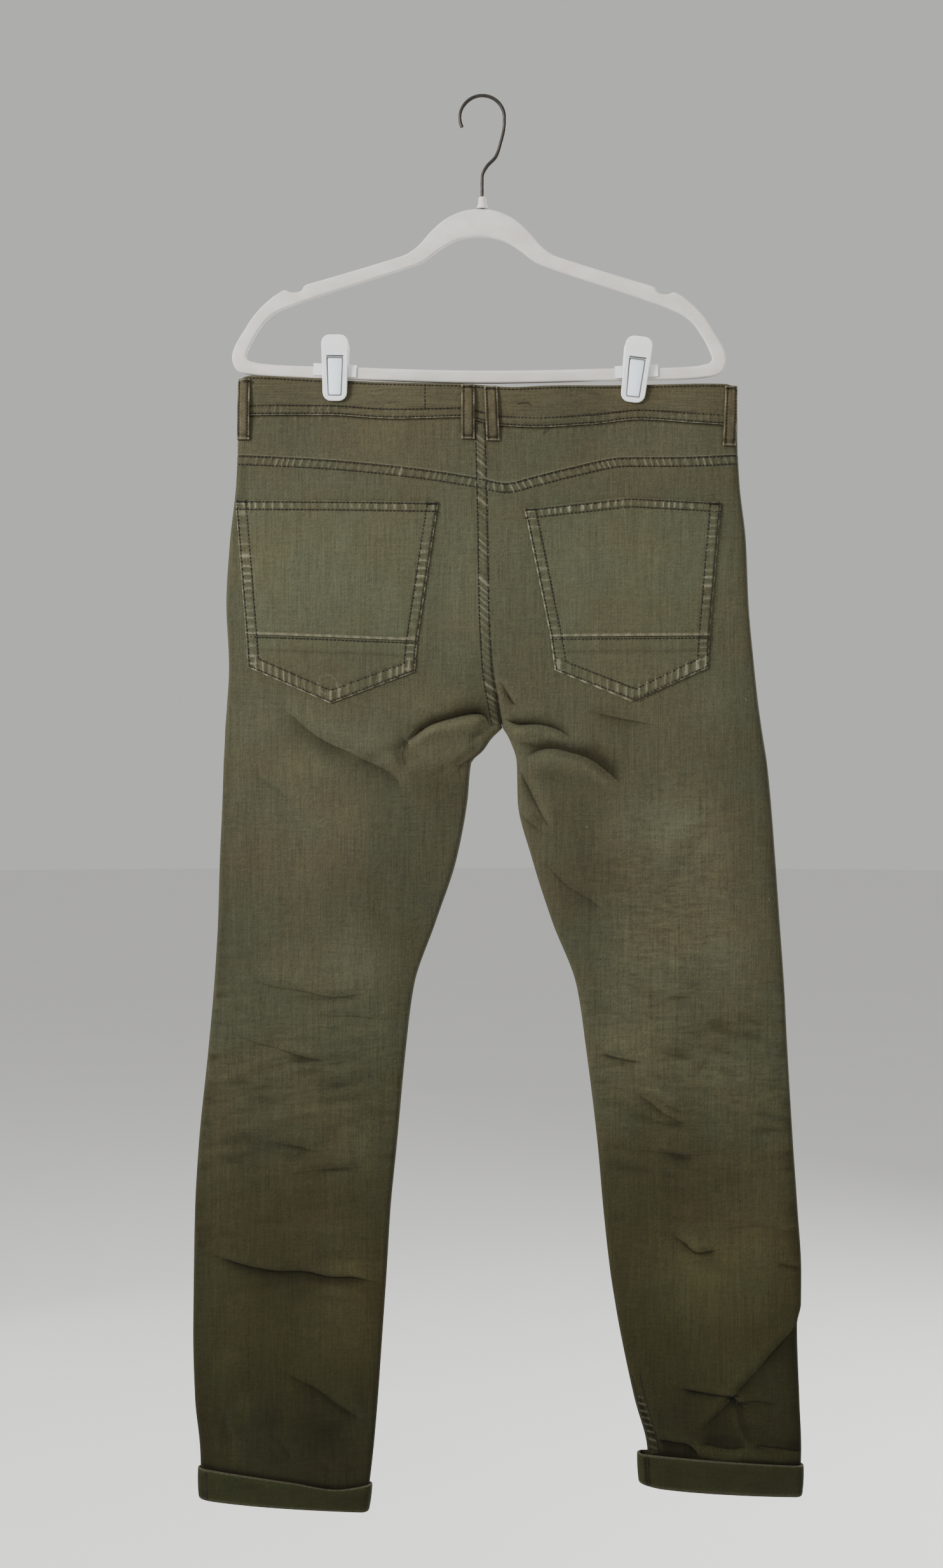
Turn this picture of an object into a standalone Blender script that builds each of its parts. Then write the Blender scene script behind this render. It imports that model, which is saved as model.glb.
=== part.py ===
"""Skinny jeans with turned-up hems, hung by two finger clips from a flocked suit hanger.

The garment's back faces -Y and its front +Y. X runs to the viewer's right, Z up. The origin is the
inner crown of the hanger's hook, where a rail or a peg carries it. Tables are in millimetres, and a
height in them is a drop: how far below the origin it lies.
"""

import bisect
import functools
import math
from collections import namedtuple

import bmesh
import bpy
from mathutils import Matrix, Vector

MM = 0.001
COLLECTION = "skinny_jeans_on_a_clip_hanger"

# ---------------------------------------------------------------- cloth sizes
CLOTH = 1.8  # denim wall
BAND_WALL = 2.0  # doubled waistband
PATCH_WALL = 1.4  # pockets, fly and facings
SEAM_GAP = 0.3
PATCH_GAP = 0.45  # under a piece that lies on a curved panel
EDGE_ROUND = 4.5  # outer radius of the cloth where it turns round a side seam
SEAM_SPREAD = 24.0  # columns gather within this much of the centre seam
EDGE_STEPS = 2  # columns that turn a rounded edge
CROTCH = 567.0
SEAT_BLEND = 490.0  # below here the seat divides into two legs
BAND_PROUD = 0.4  # how far the waistband stands out of the panels
BAND_LAP = 20.0  # how far the waistband's upper end passes the centre front
BAND_UNDERLAP = 15.0  # and its lower end, the other way
LAP_START = 48.0  # where the upper end starts to rise over the lower one
LAP_FULL = 20.0

Seat = namedtuple("Seat", "drop left right centre back front")
SEAT = (  # the waist and seat: both outseams, the centre seam, and the half depths
    Seat(248, -217.5, 228.5, 1.6, 8.0, 7.0),
    Seat(300, -219.3, 229.0, 3.2, 11.5, 9.0),
    Seat(345, -221.0, 231.0, 4.4, 15.5, 12.0),
    Seat(400, -226.8, 237.0, 5.6, 19.0, 14.0),
    Seat(455, -230.0, 239.3, 6.4, 21.0, 15.0),
    Seat(512, -227.6, 244.4, 9.2, 20.5, 15.0),
    Seat(545, -229.3, 248.0, 14.4, 19.5, 14.5),
    Seat(CROTCH, -231.0, 251.0, 18.2, 19.0, 14.0),
)

Leg = namedtuple("Leg", "drop outer inner back front")
LEFT_LEG = (
    Leg(CROTCH, -231.0, 18.2, 17.0, 13.0),
    Leg(576, -231.3, 8.8, 17.0, 13.0),
    Leg(587, -231.8, 1.0, 17.0, 13.0),
    Leg(598, -232.4, -9.7, 17.0, 13.0),
    Leg(632, -233.5, -13.1, 16.0, 13.0),
    Leg(684, -235.8, -22.8, 15.5, 12.5),
    Leg(741, -237.5, -41.7, 14.5, 12.0),
    Leg(798, -241.0, -61.1, 13.5, 11.5),
    Leg(855, -246.1, -68.5, 13.0, 11.5),
    Leg(940, -254.7, -76.5, 12.5, 11.0),
    Leg(998, -258.1, -82.2, 12.0, 10.5),
    Leg(1055, -259.2, -85.7, 11.0, 10.0),
    Leg(1112, -259.8, -89.6, 10.5, 10.0),
    Leg(1169, -258.1, -93.6, 10.0, 9.5),
    Leg(1215, -253.5, -97.6, 9.5, 9.0),
    Leg(1268, -252.0, -104.0, 9.0, 8.5),
)
RIGHT_LEG = (
    Leg(CROTCH, 251.0, 18.2, 17.0, 13.0),
    Leg(576, 252.4, 23.8, 17.0, 13.0),
    Leg(598, 255.8, 30.8, 17.0, 13.0),
    Leg(632, 259.2, 31.6, 16.0, 13.0),
    Leg(684, 263.2, 44.5, 15.5, 12.5),
    Leg(741, 267.2, 62.8, 14.5, 12.0),
    Leg(798, 271.2, 84.5, 13.5, 11.5),
    Leg(855, 274.1, 93.1, 13.0, 11.5),
    Leg(940, 279.2, 103.4, 12.5, 11.0),
    Leg(998, 283.2, 108.5, 12.0, 10.5),
    Leg(1055, 286.6, 114.8, 11.0, 10.0),
    Leg(1084, 286.4, 119.3, 10.5, 10.0),
    Leg(1102, 282.8, 122.4, 10.5, 10.0),
    Leg(1169, 284.9, 136.5, 10.0, 9.5),
    Leg(1213, 286.6, 148.0, 9.5, 9.0),
    Leg(1256, 285.0, 150.5, 9.0, 8.5),
)

Edge = namedtuple("Edge", "x drop")
BAND_TOP = (
    Edge(-222, 255.5),
    Edge(-208, 250.9),
    Edge(-171, 252.2),
    Edge(-121, 254.8),
    Edge(-61, 258.0),
    Edge(-20, 258.9),
    Edge(28, 262.0),
    Edge(53, 260.8),
    Edge(103, 259.4),
    Edge(195, 258.2),
    Edge(217, 258.4),
    Edge(232, 263.5),
)
BAND_SEAM = (
    Edge(-222, 287.0),
    Edge(-140, 286.0),
    Edge(-69, 290.5),
    Edge(-20, 289.5),
    Edge(16, 297.0),
    Edge(50, 298.5),
    Edge(95, 295.0),
    Edge(142, 290.0),
    Edge(195, 294.0),
    Edge(232, 296.0),
)
BAND_EDGES = {  # the waistband's top and its lower seam on each face
    "back": (BAND_TOP, BAND_SEAM),
    "front": (
        (Edge(-222, 255.5), Edge(5, 259.0), Edge(232, 263.5)),
        (Edge(-222, 287.0), Edge(5, 291.5), Edge(232, 296.0)),
    ),
}
YOKE_SEAM = (
    Edge(-224, 322.0),
    Edge(-140, 327.0),
    Edge(-61, 335.5),
    Edge(-3, 344.5),
    Edge(21, 349.0),
    Edge(45, 343.5),
    Edge(78, 335.0),
    Edge(128, 325.0),
    Edge(180, 324.5),
    Edge(234, 321.5),
)
LEFT_HEM = (Edge(-258, 1256.5), Edge(-240, 1259.5), Edge(-104, 1269.5))
RIGHT_HEM = (Edge(140, 1243.5), Edge(162, 1248.2), Edge(290, 1256.3))
LEFT_TURN_TOP = (Edge(-258, 1229.0), Edge(-170, 1241.5), Edge(-128, 1248.2), Edge(-98, 1244.5))
RIGHT_TURN_TOP = (Edge(138, 1216.5), Edge(194, 1220.8), Edge(292, 1228.4))

Crease = namedtuple("Crease", "x0 drop0 x1 drop1 width depth")
BACK_CREASES = (  # pressed-in troughs, each with a low ridge above it
    Crease(8, 556, -38, 560, 8, 6.0),
    Crease(-28, 557, -80, 580, 9, 4.5),
    Crease(9, 580, -26, 607, 8, 4.0),
    Crease(-182, 546, -66, 616, 14, 3.0),
    Crease(-190, 798, -92, 812, 9, 2.4),
    Crease(-212, 844, -110, 866, 9, 2.4),
    Crease(-182, 938, -108, 966, 10, 2.2),
    Crease(-240, 1040, -86, 1068, 9, 3.6),
    Crease(-218, 1150, -108, 1188, 14, 2.4),
    Crease(18, 560, 82, 574, 8, 4.5),
    Crease(36, 591, 84, 590, 10, 6.0),
    Crease(76, 590, 126, 622, 10, 4.5),
    Crease(96, 554, 168, 565, 12, 2.5),
    Crease(57, 690, 108, 728, 12, 2.5),
    Crease(108, 862, 214, 850, 10, 2.4),
    Crease(112, 922, 230, 908, 10, 2.2),
    Crease(278, 1104, 182, 1208, 10, 3.5),
    Crease(176, 1156, 246, 1170, 9, 3.5),
    Crease(150, 1206, 200, 1214, 9, 3.5),
)
FRONT_CREASES = (
    Crease(10, 556, -52, 548, 10, 4.0),
    Crease(22, 556, 86, 545, 10, 4.0),
    Crease(-10, 600, -84, 580, 12, 3.0),
    Crease(34, 598, 112, 578, 12, 3.0),
    Crease(-200, 812, -92, 800, 10, 2.4),
    Crease(-214, 862, -100, 874, 10, 2.2),
    Crease(112, 806, 226, 816, 10, 2.4),
    Crease(122, 872, 238, 862, 10, 2.2),
    Crease(-232, 1046, -100, 1062, 10, 2.6),
    Crease(140, 1150, 258, 1164, 10, 2.6),
)

RowBand = namedtuple("RowBand", "until step")
LEFT_BACK_ROWS = (
    RowBand(540, 36),
    RowBand(616, 9.5),
    RowBand(1034, 32),
    RowBand(1072, 10),
    RowBand(1222, 34),
    RowBand(1300, 16),
)
RIGHT_BACK_ROWS = (
    RowBand(545, 36),
    RowBand(628, 10),
    RowBand(1090, 33),
    RowBand(1216, 13),
    RowBand(1300, 16),
)
LEFT_FRONT_ROWS = (
    RowBand(345, 14),
    RowBand(538, 40),
    RowBand(612, 15),
    RowBand(1036, 40),
    RowBand(1072, 14),
    RowBand(1222, 40),
    RowBand(1300, 16),
)
RIGHT_FRONT_ROWS = (
    RowBand(345, 14),
    RowBand(538, 40),
    RowBand(612, 15),
    RowBand(1140, 40),
    RowBand(1180, 15),
    RowBand(1300, 18),
)
BACK_COLUMNS = 13
FRONT_COLUMNS = 12
WAIST_COLUMNS = 26  # across one face
BAND_ROWS = 4
YOKE_ROWS = 3
SEAT_LEVEL = 500.0  # where a panel's upper edge is read for its middle
HEM_LEVEL = 1240.0
BAND_LEVEL = 275.0
YOKE_LEVEL = 310.0
TOP_FADE = 4  # how fast a panel's rows leave the shape of its upper edge
FOOT_FADE = 8

# ---------------------------------------------------------------- sewn-on pieces
Pocket = namedtuple(
    "Pocket", "top_outer top_middle top_inner cross_outer cross_inner low_outer point low_inner"
)
LEFT_POCKET = Pocket(
    Edge(-221.5, 362.6), Edge(-130, 364.2), Edge(-39.1, 366.0),
    Edge(-211.8, 483.1), Edge(-57.7, 489.9),
    Edge(-210.1, 512.5), Edge(-135.3, 545.3), Edge(-60.0, 517.3),
)  # fmt: skip
RIGHT_POCKET = Pocket(
    Edge(213.6, 364.9), Edge(134.8, 361.4), Edge(37.1, 372.0),
    Edge(203.3, 484.5), Edge(60.3, 486.4),
    Edge(201.6, 513.3), Edge(135.9, 543.9), Edge(64.2, 515.9),
)  # fmt: skip
POCKET_COLUMNS = 12
POCKET_UPPER_ROWS = 6
POCKET_LOWER_ROWS = 3

Loop = namedtuple("Loop", "name face x_top x_low top low")
BELT_LOOPS = (
    Loop("belt_loop_left_side", "back", -214.0, -214.6, 254.0, 308.5),
    Loop("belt_loop_back_left", "back", -12.9, -12.9, 259.8, 309.0),
    Loop("belt_loop_back_right", "back", 7.4, 9.4, 261.4, 310.6),
    Loop("belt_loop_right_side", "back", 223.5, 221.0, 260.5, 314.0),
    Loop("belt_loop_front_left", "front", -82.0, -82.0, 257.8, 309.0),
    Loop("belt_loop_front_right", "front", 92.0, 92.0, 260.6, 311.0),
)
LOOP_WIDTH = 11.8
LOOP_WALL = 1.5
LOOP_BULGE = 1.4  # how far a loop stands off the waistband half way down
LOOP_ROWS = 6
LOOP_COLUMNS = 4

SCOOP_WIDTH = 92.0  # the front pocket's mouth along the waistband
SCOOP_DEPTH = 74.0  # and down the outseam
SCOOP_LEVEL = 320.0
FACING_WALL = 1.1
FACING_GAP = 1.1  # between the front panel and the facing under it
FACING_UNDER = 14.0  # how far the facing runs on under the front panel
FACING_LEVEL = 300.0
FACING_ROWS = 7
FACING_COLUMNS = 7
FLY_WIDTH = 38.0
FLY_LENGTH = 132.0
FLY_CURVE = 0.62  # share of the fly's length where its edge starts to curve in
FLY_TIP = 3.0  # its width at its foot
FLY_ROWS = 10
FLY_COLUMNS = 4
BUTTON_RADIUS = 8.5
BUTTON_HEIGHT = 4.2
BUTTON_AT = Edge(13.0, 277.5)
BUTTON_PROFILE = (  # radius, and depth below the button's crown; None is where it meets the cloth
    (0, 0),
    (3.4, 0.2),
    (5.4, 0.9),
    (6.4, 0.7),
    (7.8, 0.9),
    (BUTTON_RADIUS, 2.0),
    (7.4, 3.0),
    (3.6, 3.4),
    (3.4, None),
    (0, None),
)
TURNED_SEGMENTS = 16

TURN_WALL = 1.9
TURN_GAP = 0.6
TURN_FLARES = {"left": 0.0, "right": 7.0}  # how far the bulky inseam pushes a turn-up inwards
TURN_LIP = 2.0  # cloth folded under the leg's end
TURN_LEVEL = 1235.0
TURN_PROFILE = (  # how far in from the leg's surface, and height above the fold; None is the top edge
    (-TURN_GAP, None),
    (-TURN_GAP - TURN_WALL, None),
    (-TURN_GAP - TURN_WALL, 12.0),
    (-TURN_GAP - TURN_WALL, 1.6),
    (-TURN_GAP - TURN_WALL / 2, 0.0),
    (CLOTH - SEAM_GAP, 0.0),
    (CLOTH, TURN_LIP),
    (-TURN_GAP, TURN_LIP),
)

# ---------------------------------------------------------------- hanger
FRAME_THICKNESS = 5.8
FRAME_ROUNDING = 1.2
FRAME_CENTRE = -1.5
FRAME_TILT = math.radians(0.3)
FRAME_OUTER = (  # half outline, x from the hanger's middle
    Edge(0, 100.8), Edge(13, 102), Edge(29, 108.5), Edge(43, 120), Edge(55.5, 134), Edge(66, 141.5),
    Edge(80, 146.5), Edge(150, 168.8), Edge(155.5, 172.5), Edge(162, 175.6), Edge(170, 174.6),
    Edge(180, 178), Edge(192, 186), Edge(203, 198), Edge(212, 212), Edge(219.5, 225), Edge(222, 235.5),
    Edge(218, 246), Edge(208, 250.2), Edge(110, 254.4), Edge(0, 257.2),
)  # fmt: skip
FRAME_INNER = (
    Edge(0, 125.8), Edge(20, 128.8), Edge(36, 137.5), Edge(48, 146.8), Edge(57, 151.2),
    Edge(177, 192), Edge(190, 200.5), Edge(200, 214), Edge(207.5, 228.5), Edge(209, 234.5),
    Edge(205, 238.6), Edge(110, 243.4), Edge(0, 245.8),
)  # fmt: skip
OUTLINE_STEPS = 1  # points added between two of an outline

WIRE_RADIUS = 1.6
HOOK_RADIUS = 20.0
HOOK_TIP = 205.0  # degrees, open to the left
NECK = (Edge(19.8, 27), Edge(17.2, 38.8), Edge(12.4, 53), Edge(4.4, 61.8), Edge(0.6, 69), Edge(0, 76))
COLLAR_TOP = 90.0
COLLAR_FOOT = 100.1
HOOK_STEPS = 18
COLLAR_RADIUS = 3.6
COLLAR_FLARE = 5.2  # its radius where it stands on the frame

CLIP_TOP_WIDTH = 24.4
CLIP_LOW_WIDTH = 21.8
CLIP_HEIGHT = 58.6
CLIP_CORNER = 7.5
CORNER_STEPS = 4
JAW_WALL = 2.6
JAW_ROUNDING = 0.7
JAW_GRIP = 3.25  # inner face of a jaw from the middle plane at its foot
JAW_LEAN = math.radians(4.9)  # the jaws open upwards
RECESS_TOP = 19.5  # below the jaw's top
RECESS_HEIGHT = 35.0
RECESS_TOP_WIDTH = 15.4
RECESS_LOW_WIDTH = 12.8
RECESS_DEPTH = 1.3  # at its top
RECESS_FOOT = 0.25  # its depth at its foot
SADDLE_LENGTH = 38.5
SADDLE_WALL = 1.0
SADDLE_DROP = 9.8
SADDLE_CORNER = 0.6
SPRING_WIDTH = 9.0
SPRING_WALL = 0.8
SPRING_RISE = 43.0  # its arch above the jaws' feet
SPRING_LEG = 7.0  # straight part below the arch
SPRING_INSET = 0.9
SPRING_STEPS = 12
Clip = namedtuple("Clip", "name x foot lean")
CLIPS = (
    Clip("left", -132.2, 273.6, math.radians(0.4)),
    Clip("right", 134.2, 274.8, math.radians(6.8)),
)
PINCH = 2.5  # half depth of the cloth between a clip's jaws
PINCH_HALF_WIDTH = 16.0
PINCH_FADE = 58.0
PINCH_FOOT = 280.0
PINCH_FOOT_FADE = 70.0

COLOURS = {
    "denim": (0.115, 0.108, 0.063),
    "denim_dark": (0.062, 0.056, 0.028),
    "denim_reverse": (0.033, 0.032, 0.014),
    "flock": (0.62, 0.58, 0.50),
    "clip": (0.72, 0.73, 0.74),
    "wire": (0.10, 0.09, 0.07),
    "brass": (0.30, 0.22, 0.12),
}


def smoothstep(t):
    t = min(1.0, max(0.0, t))
    return t * t * (3 - 2 * t)


@functools.cache
def table_curve(table, column):
    """Places, values and slopes of a smooth curve that never overshoots a table's values."""
    places = [float(row[0]) for row in table]
    values = [float(getattr(row, column)) for row in table]
    rises = [(values[i + 1] - values[i]) / (places[i + 1] - places[i]) for i in range(len(table) - 1)]
    slopes = [rises[0]]
    for before, after in zip(rises, rises[1:]):
        slopes.append(2 * before * after / (before + after) if before * after > 0 else 0.0)
    return places, values, [*slopes, rises[-1]]


def reading(table, column, at):
    """A table's column at a place in its first column."""
    places, values, slopes = table_curve(table, column)
    at = min(max(at, places[0]), places[-1])
    i = min(max(bisect.bisect(places, at) - 1, 0), len(places) - 2)
    step = places[i + 1] - places[i]
    t = (at - places[i]) / step
    return (
        values[i] * (1 + 2 * t) * (1 - t) ** 2
        + slopes[i] * step * t * (1 - t) ** 2
        + values[i + 1] * t * t * (3 - 2 * t)
        + slopes[i + 1] * step * t * t * (t - 1)
    )


def leg_table(side):
    return LEFT_LEG if side == "left" else RIGHT_LEG


def outseam(side, drop):
    return reading(SEAT, side, drop) if drop < CROTCH else reading(leg_table(side), "outer", drop)


def inner_seam(side, drop):
    """The centre seam down to the crotch, then the inseam."""
    return reading(SEAT, "centre", drop) if drop < CROTCH else reading(leg_table(side), "inner", drop)


def bulge(u):
    """Share of a section's swelling at u, from -1 at one edge to 1 at the other."""
    return max(0.0, 1 - min(1.0, abs(u)) ** 2.2) ** 0.9


def edge_height(s, radius):
    """Height of a rounded edge at a distance s in from its end."""
    s = min(max(s, 0.0), radius)
    return math.sqrt(radius**2 - (radius - s) ** 2)


def section_depth(x, ends, depth, inset):
    """Distance from the middle plane of a flattened tube with rounded edges."""
    low, high = min(ends) + inset, max(ends) - inset
    u = (2 * x - low - high) / (high - low)
    return edge_height(min(x - low, high - x), EDGE_ROUND - inset) + (depth - EDGE_ROUND) * bulge(u)


def across(share, columns, width, first, last):
    """Distance from one end at a share of the columns, which gather round both rounded edges."""
    edge = EDGE_STEPS / columns
    if share < edge:
        return first * (1 - math.cos(math.pi / 2 * share / edge))
    if share > 1 - edge:
        return width - last * (1 - math.cos(math.pi / 2 * (1 - share) / edge))
    return first + (width - first - last) * (share - edge) / (1 - 2 * edge)


def pinch(x, drop):
    """How far the clips hold the cloth flat at a place, 0 to 1."""
    low = 1 - smoothstep((drop - PINCH_FOOT) / PINCH_FOOT_FADE)
    near = min(abs(x - clip.x) for clip in CLIPS)
    return low * (1 - smoothstep((near - PINCH_HALF_WIDTH) / PINCH_FADE))


def creases(face, x, drop):
    """Depth of the troughs at a place of the back or the front."""
    total = 0.0
    for row in BACK_CREASES if face == "back" else FRONT_CREASES:
        along = Vector((row.x1 - row.x0, row.drop1 - row.drop0))
        offset = Vector((x - row.x0, drop - row.drop0))
        t = offset.dot(along) / along.length_squared
        if not 0 < t < 1:
            continue
        above = (along.y * offset.x - along.x * offset.y) / along.length
        above = above if along.x > 0 else -above
        ends = smoothstep(t / 0.3) * smoothstep((1 - t) / 0.3)
        trough = math.exp(-((above / row.width) ** 2))
        ridge = math.exp(-((above / row.width - 1.5) ** 2))
        total += row.depth * ends * (trough - 0.45 * ridge)
    return total


def parting(drop):
    """How far the seat has divided into two legs, 0 to 1."""
    return smoothstep((drop - SEAT_BLEND) / (CROTCH - SEAT_BLEND))


def seat_depth(face, x, drop, inset):
    """Distance of the undivided waist or seat from the middle plane."""
    ends = (outseam("left", drop), outseam("right", drop))
    free = section_depth(x, ends, reading(SEAT, face, drop), inset)
    held = pinch(x, drop)
    return free * (1 - held) + (PINCH - inset) * held


def cloth_depth(side, face, x, drop, inset):
    """Distance of a leg panel's surface from the middle plane, creases included."""
    ends = (outseam(side, drop), inner_seam(side, drop))
    parted = parting(drop)
    depth = seat_depth(face, x, drop, inset) if parted < 1 else 0.0
    if parted > 0:
        leg = section_depth(x, ends, reading(leg_table(side), face, drop), inset)
        depth = depth * (1 - parted) + leg * parted
    edge_fade = smoothstep((min(abs(x - end) for end in ends) - 3.0) / 16.0)
    return depth - creases(face, x, drop) * edge_fade


def cloth_point(side, face, share, columns, drop, inset):
    """A point of a leg panel: share runs from 0 at the outseam to 1 at the inner seam."""
    outer, inner = outseam(side, drop), inner_seam(side, drop)
    parted = parting(drop)
    inward = math.copysign(1.0, inner - outer)
    width = abs(inner - outer) - inset * (1 + parted) - SEAM_GAP / 2
    radius = EDGE_ROUND - inset
    last = SEAM_SPREAD + (radius - SEAM_SPREAD) * parted
    x = outer + inward * (inset + across(share, columns, width, radius, last))
    return patch_point(side, face, x, drop, inset)


def place(x, y, drop):
    return Vector((x, y, -drop)) * MM


def patch_point(side, face, x, drop, inset):
    """A point over a leg panel at a given x."""
    depth = max(cloth_depth(side, face, x, drop, inset), SEAM_GAP / 2)
    return place(x, depth if face == "front" else -depth, drop)


def band_top(face, x):
    return reading(BAND_EDGES[face][0], "drop", x)


def band_seam(face, x):
    return reading(BAND_EDGES[face][1], "drop", x)


def waist_point(turn, drop, inset):
    """A point round the waist: 0 is the right outseam, 90 the centre back, 270 the centre front."""
    turn %= 360
    face = "back" if turn <= 180 else "front"
    share = turn / 180 if turn <= 180 else 2 - turn / 180
    left, right = outseam("left", drop), outseam("right", drop)
    radius = EDGE_ROUND - inset
    x = right - inset - across(share, WAIST_COLUMNS, right - left - 2 * inset, radius, radius)
    depth = seat_depth(face, x, drop, inset)
    return place(x, -depth if face == "back" else depth, drop)


def waist_turn(face, x, drop):
    """The turn round the waist at which the cloth's face crosses x."""
    low, high = (0.0, 180.0) if face == "back" else (360.0, 180.0)
    for _ in range(30):
        middle = (low + high) / 2
        if waist_point(middle, drop, 0).x > x * MM:
            low = middle
        else:
            high = middle
    return (low + high) / 2


def collection():
    made = bpy.data.collections.get(COLLECTION)
    if made is None:
        made = bpy.data.collections.new(COLLECTION)
        bpy.context.scene.collection.children.link(made)
    return made


def material(name, colour, roughness, metallic=0.0):
    made = bpy.data.materials.new(name)
    made.use_nodes = True
    shader = made.node_tree.nodes["Principled BSDF"]
    shader.inputs["Base Color"].default_value = (*COLOURS[colour], 1.0)
    shader.inputs["Roughness"].default_value = roughness
    shader.inputs["Metallic"].default_value = metallic
    made.diffuse_color = (*COLOURS[colour], 1.0)
    return made


def add_object(name, data, finish):
    made = bpy.data.objects.new(name, data)
    collection().objects.link(made)
    if finish is not None:
        made.data.materials.append(material(name + "_finish", *finish))
    return made


def smooth_shading(mesh, angle=40.0):
    mesh.shade_smooth()
    mesh.set_sharp_from_angle(angle=math.radians(angle))


def wall(name, outer, inner, finish, ring=False):
    """A closed wall between two grids of points, outer and inner, given as rows."""
    bm = bmesh.new()
    rows, columns = len(outer), len(outer[0])
    out = [[bm.verts.new(p) for p in row] for row in outer]
    into = [[bm.verts.new(p) for p in row] for row in inner]
    last = columns if ring else columns - 1
    for i in range(rows - 1):
        for j in range(last):
            k = (j + 1) % columns
            bm.faces.new((out[i][j], out[i][k], out[i + 1][k], out[i + 1][j]))
            bm.faces.new((into[i][j], into[i + 1][j], into[i + 1][k], into[i][k]))
    for j in range(last):
        k = (j + 1) % columns
        bm.faces.new((out[0][j], into[0][j], into[0][k], out[0][k]))
        bm.faces.new((out[-1][j], out[-1][k], into[-1][k], into[-1][j]))
    if not ring:
        for i in range(rows - 1):
            bm.faces.new((out[i][0], out[i + 1][0], into[i + 1][0], into[i][0]))
            bm.faces.new((out[i][-1], into[i][-1], into[i + 1][-1], out[i + 1][-1]))
    bmesh.ops.recalc_face_normals(bm, faces=bm.faces)
    mesh = bpy.data.meshes.new(name)
    bm.to_mesh(mesh)
    bm.free()
    smooth_shading(mesh)
    return add_object(name, mesh, finish)


def row_drops(start, end, bands):
    """Drops of a panel's rows, closer together where a band asks for it."""
    drops = [start]
    for band in bands:
        until = min(band.until, end)
        while drops[-1] < until - band.step * 0.6:
            drops.append(drops[-1] + band.step)
    drops[-1] = end
    return drops


def panel(name, side, face, top, foot, bands, columns, finish):
    """A leg panel whose first row follows the curve top and whose last follows the curve foot."""
    first = top((outseam(side, SEAT_LEVEL) + inner_seam(side, SEAT_LEVEL)) / 2)
    last = foot((outseam(side, HEM_LEVEL) + inner_seam(side, HEM_LEVEL)) / 2)
    drops = row_drops(first, last, bands)
    layers = []
    for inset in (0.0, CLOTH):
        grid = []
        for drop in drops:
            from_top = (drop - first) / (last - first)
            row = []
            for j in range(columns + 1):
                share = j / columns
                x = cloth_point(side, face, share, columns, drop, inset).x / MM
                at = drop + (top(x) - first) * (1 - from_top) ** TOP_FADE
                at += (foot(x) - last) * from_top**FOOT_FADE
                row.append(cloth_point(side, face, share, columns, at, inset))
            grid.append(row)
        layers.append(grid)
    return wall(name, layers[0], layers[1], finish)


def yoke(name, side, finish):
    """The shaped piece between the waistband and the seat."""
    layers = []
    for inset in (0.0, CLOTH):
        grid = []
        for i in range(YOKE_ROWS + 1):
            row = []
            for j in range(BACK_COLUMNS + 1):
                share = j / BACK_COLUMNS
                x = cloth_point(side, "back", share, BACK_COLUMNS, YOKE_LEVEL, inset).x / MM
                top = band_seam("back", x) + SEAM_GAP
                low = reading(YOKE_SEAM, "drop", x) - SEAM_GAP / 2
                drop = top + (low - top) * i / YOKE_ROWS
                row.append(cloth_point(side, "back", share, BACK_COLUMNS, drop, inset))
            grid.append(row)
        layers.append(grid)
    return wall(name, layers[0], layers[1], finish)


def waistband(finish):
    """One strip right round the waist, its ends lapped at the centre front."""
    start = waist_turn("front", -BAND_UNDERLAP, BAND_LEVEL) - 360
    end = waist_turn("front", BAND_LAP, BAND_LEVEL)
    step = 180 / WAIST_COLUMNS
    inside = range(math.ceil(start / step + 0.3), math.floor(end / step - 0.3) + 1)
    turns = [start, *(i * step for i in inside), end]
    lap = BAND_WALL + SEAM_GAP
    lap_start = waist_turn("front", -LAP_START, BAND_LEVEL)
    lap_full = waist_turn("front", -LAP_FULL, BAND_LEVEL)
    layers = []
    for inset in (-BAND_PROUD, BAND_WALL - BAND_PROUD):
        grid = []
        for i in range(BAND_ROWS + 1):
            row = []
            for turn in turns:
                x = waist_point(turn, BAND_LEVEL, inset).x / MM
                face = "back" if 0 <= turn <= 180 else "front"
                top = band_top(face, x)
                low = band_seam(face, x) - SEAM_GAP / 2
                point = waist_point(turn, top + (low - top) * i / BAND_ROWS, inset)
                point.y += lap * smoothstep((turn - lap_start) / (lap_full - lap_start)) * MM
                row.append(point)
            grid.append(row)
        layers.append(grid)
    return wall("waistband", layers[0], layers[1], finish)


def pocket_edges(pocket, share):
    """Drops of the top edge, the cross seam and the pointed foot at a share of the width."""
    if share < 0.5:
        top = pocket.top_outer.drop + (pocket.top_middle.drop - pocket.top_outer.drop) * share * 2
        foot = pocket.low_outer.drop + (pocket.point.drop - pocket.low_outer.drop) * share * 2
    else:
        top = pocket.top_middle.drop + (pocket.top_inner.drop - pocket.top_middle.drop) * (share * 2 - 1)
        foot = pocket.point.drop + (pocket.low_inner.drop - pocket.point.drop) * (share * 2 - 1)
    cross = pocket.cross_outer.drop + (pocket.cross_inner.drop - pocket.cross_outer.drop) * share
    return top, cross, foot


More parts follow.
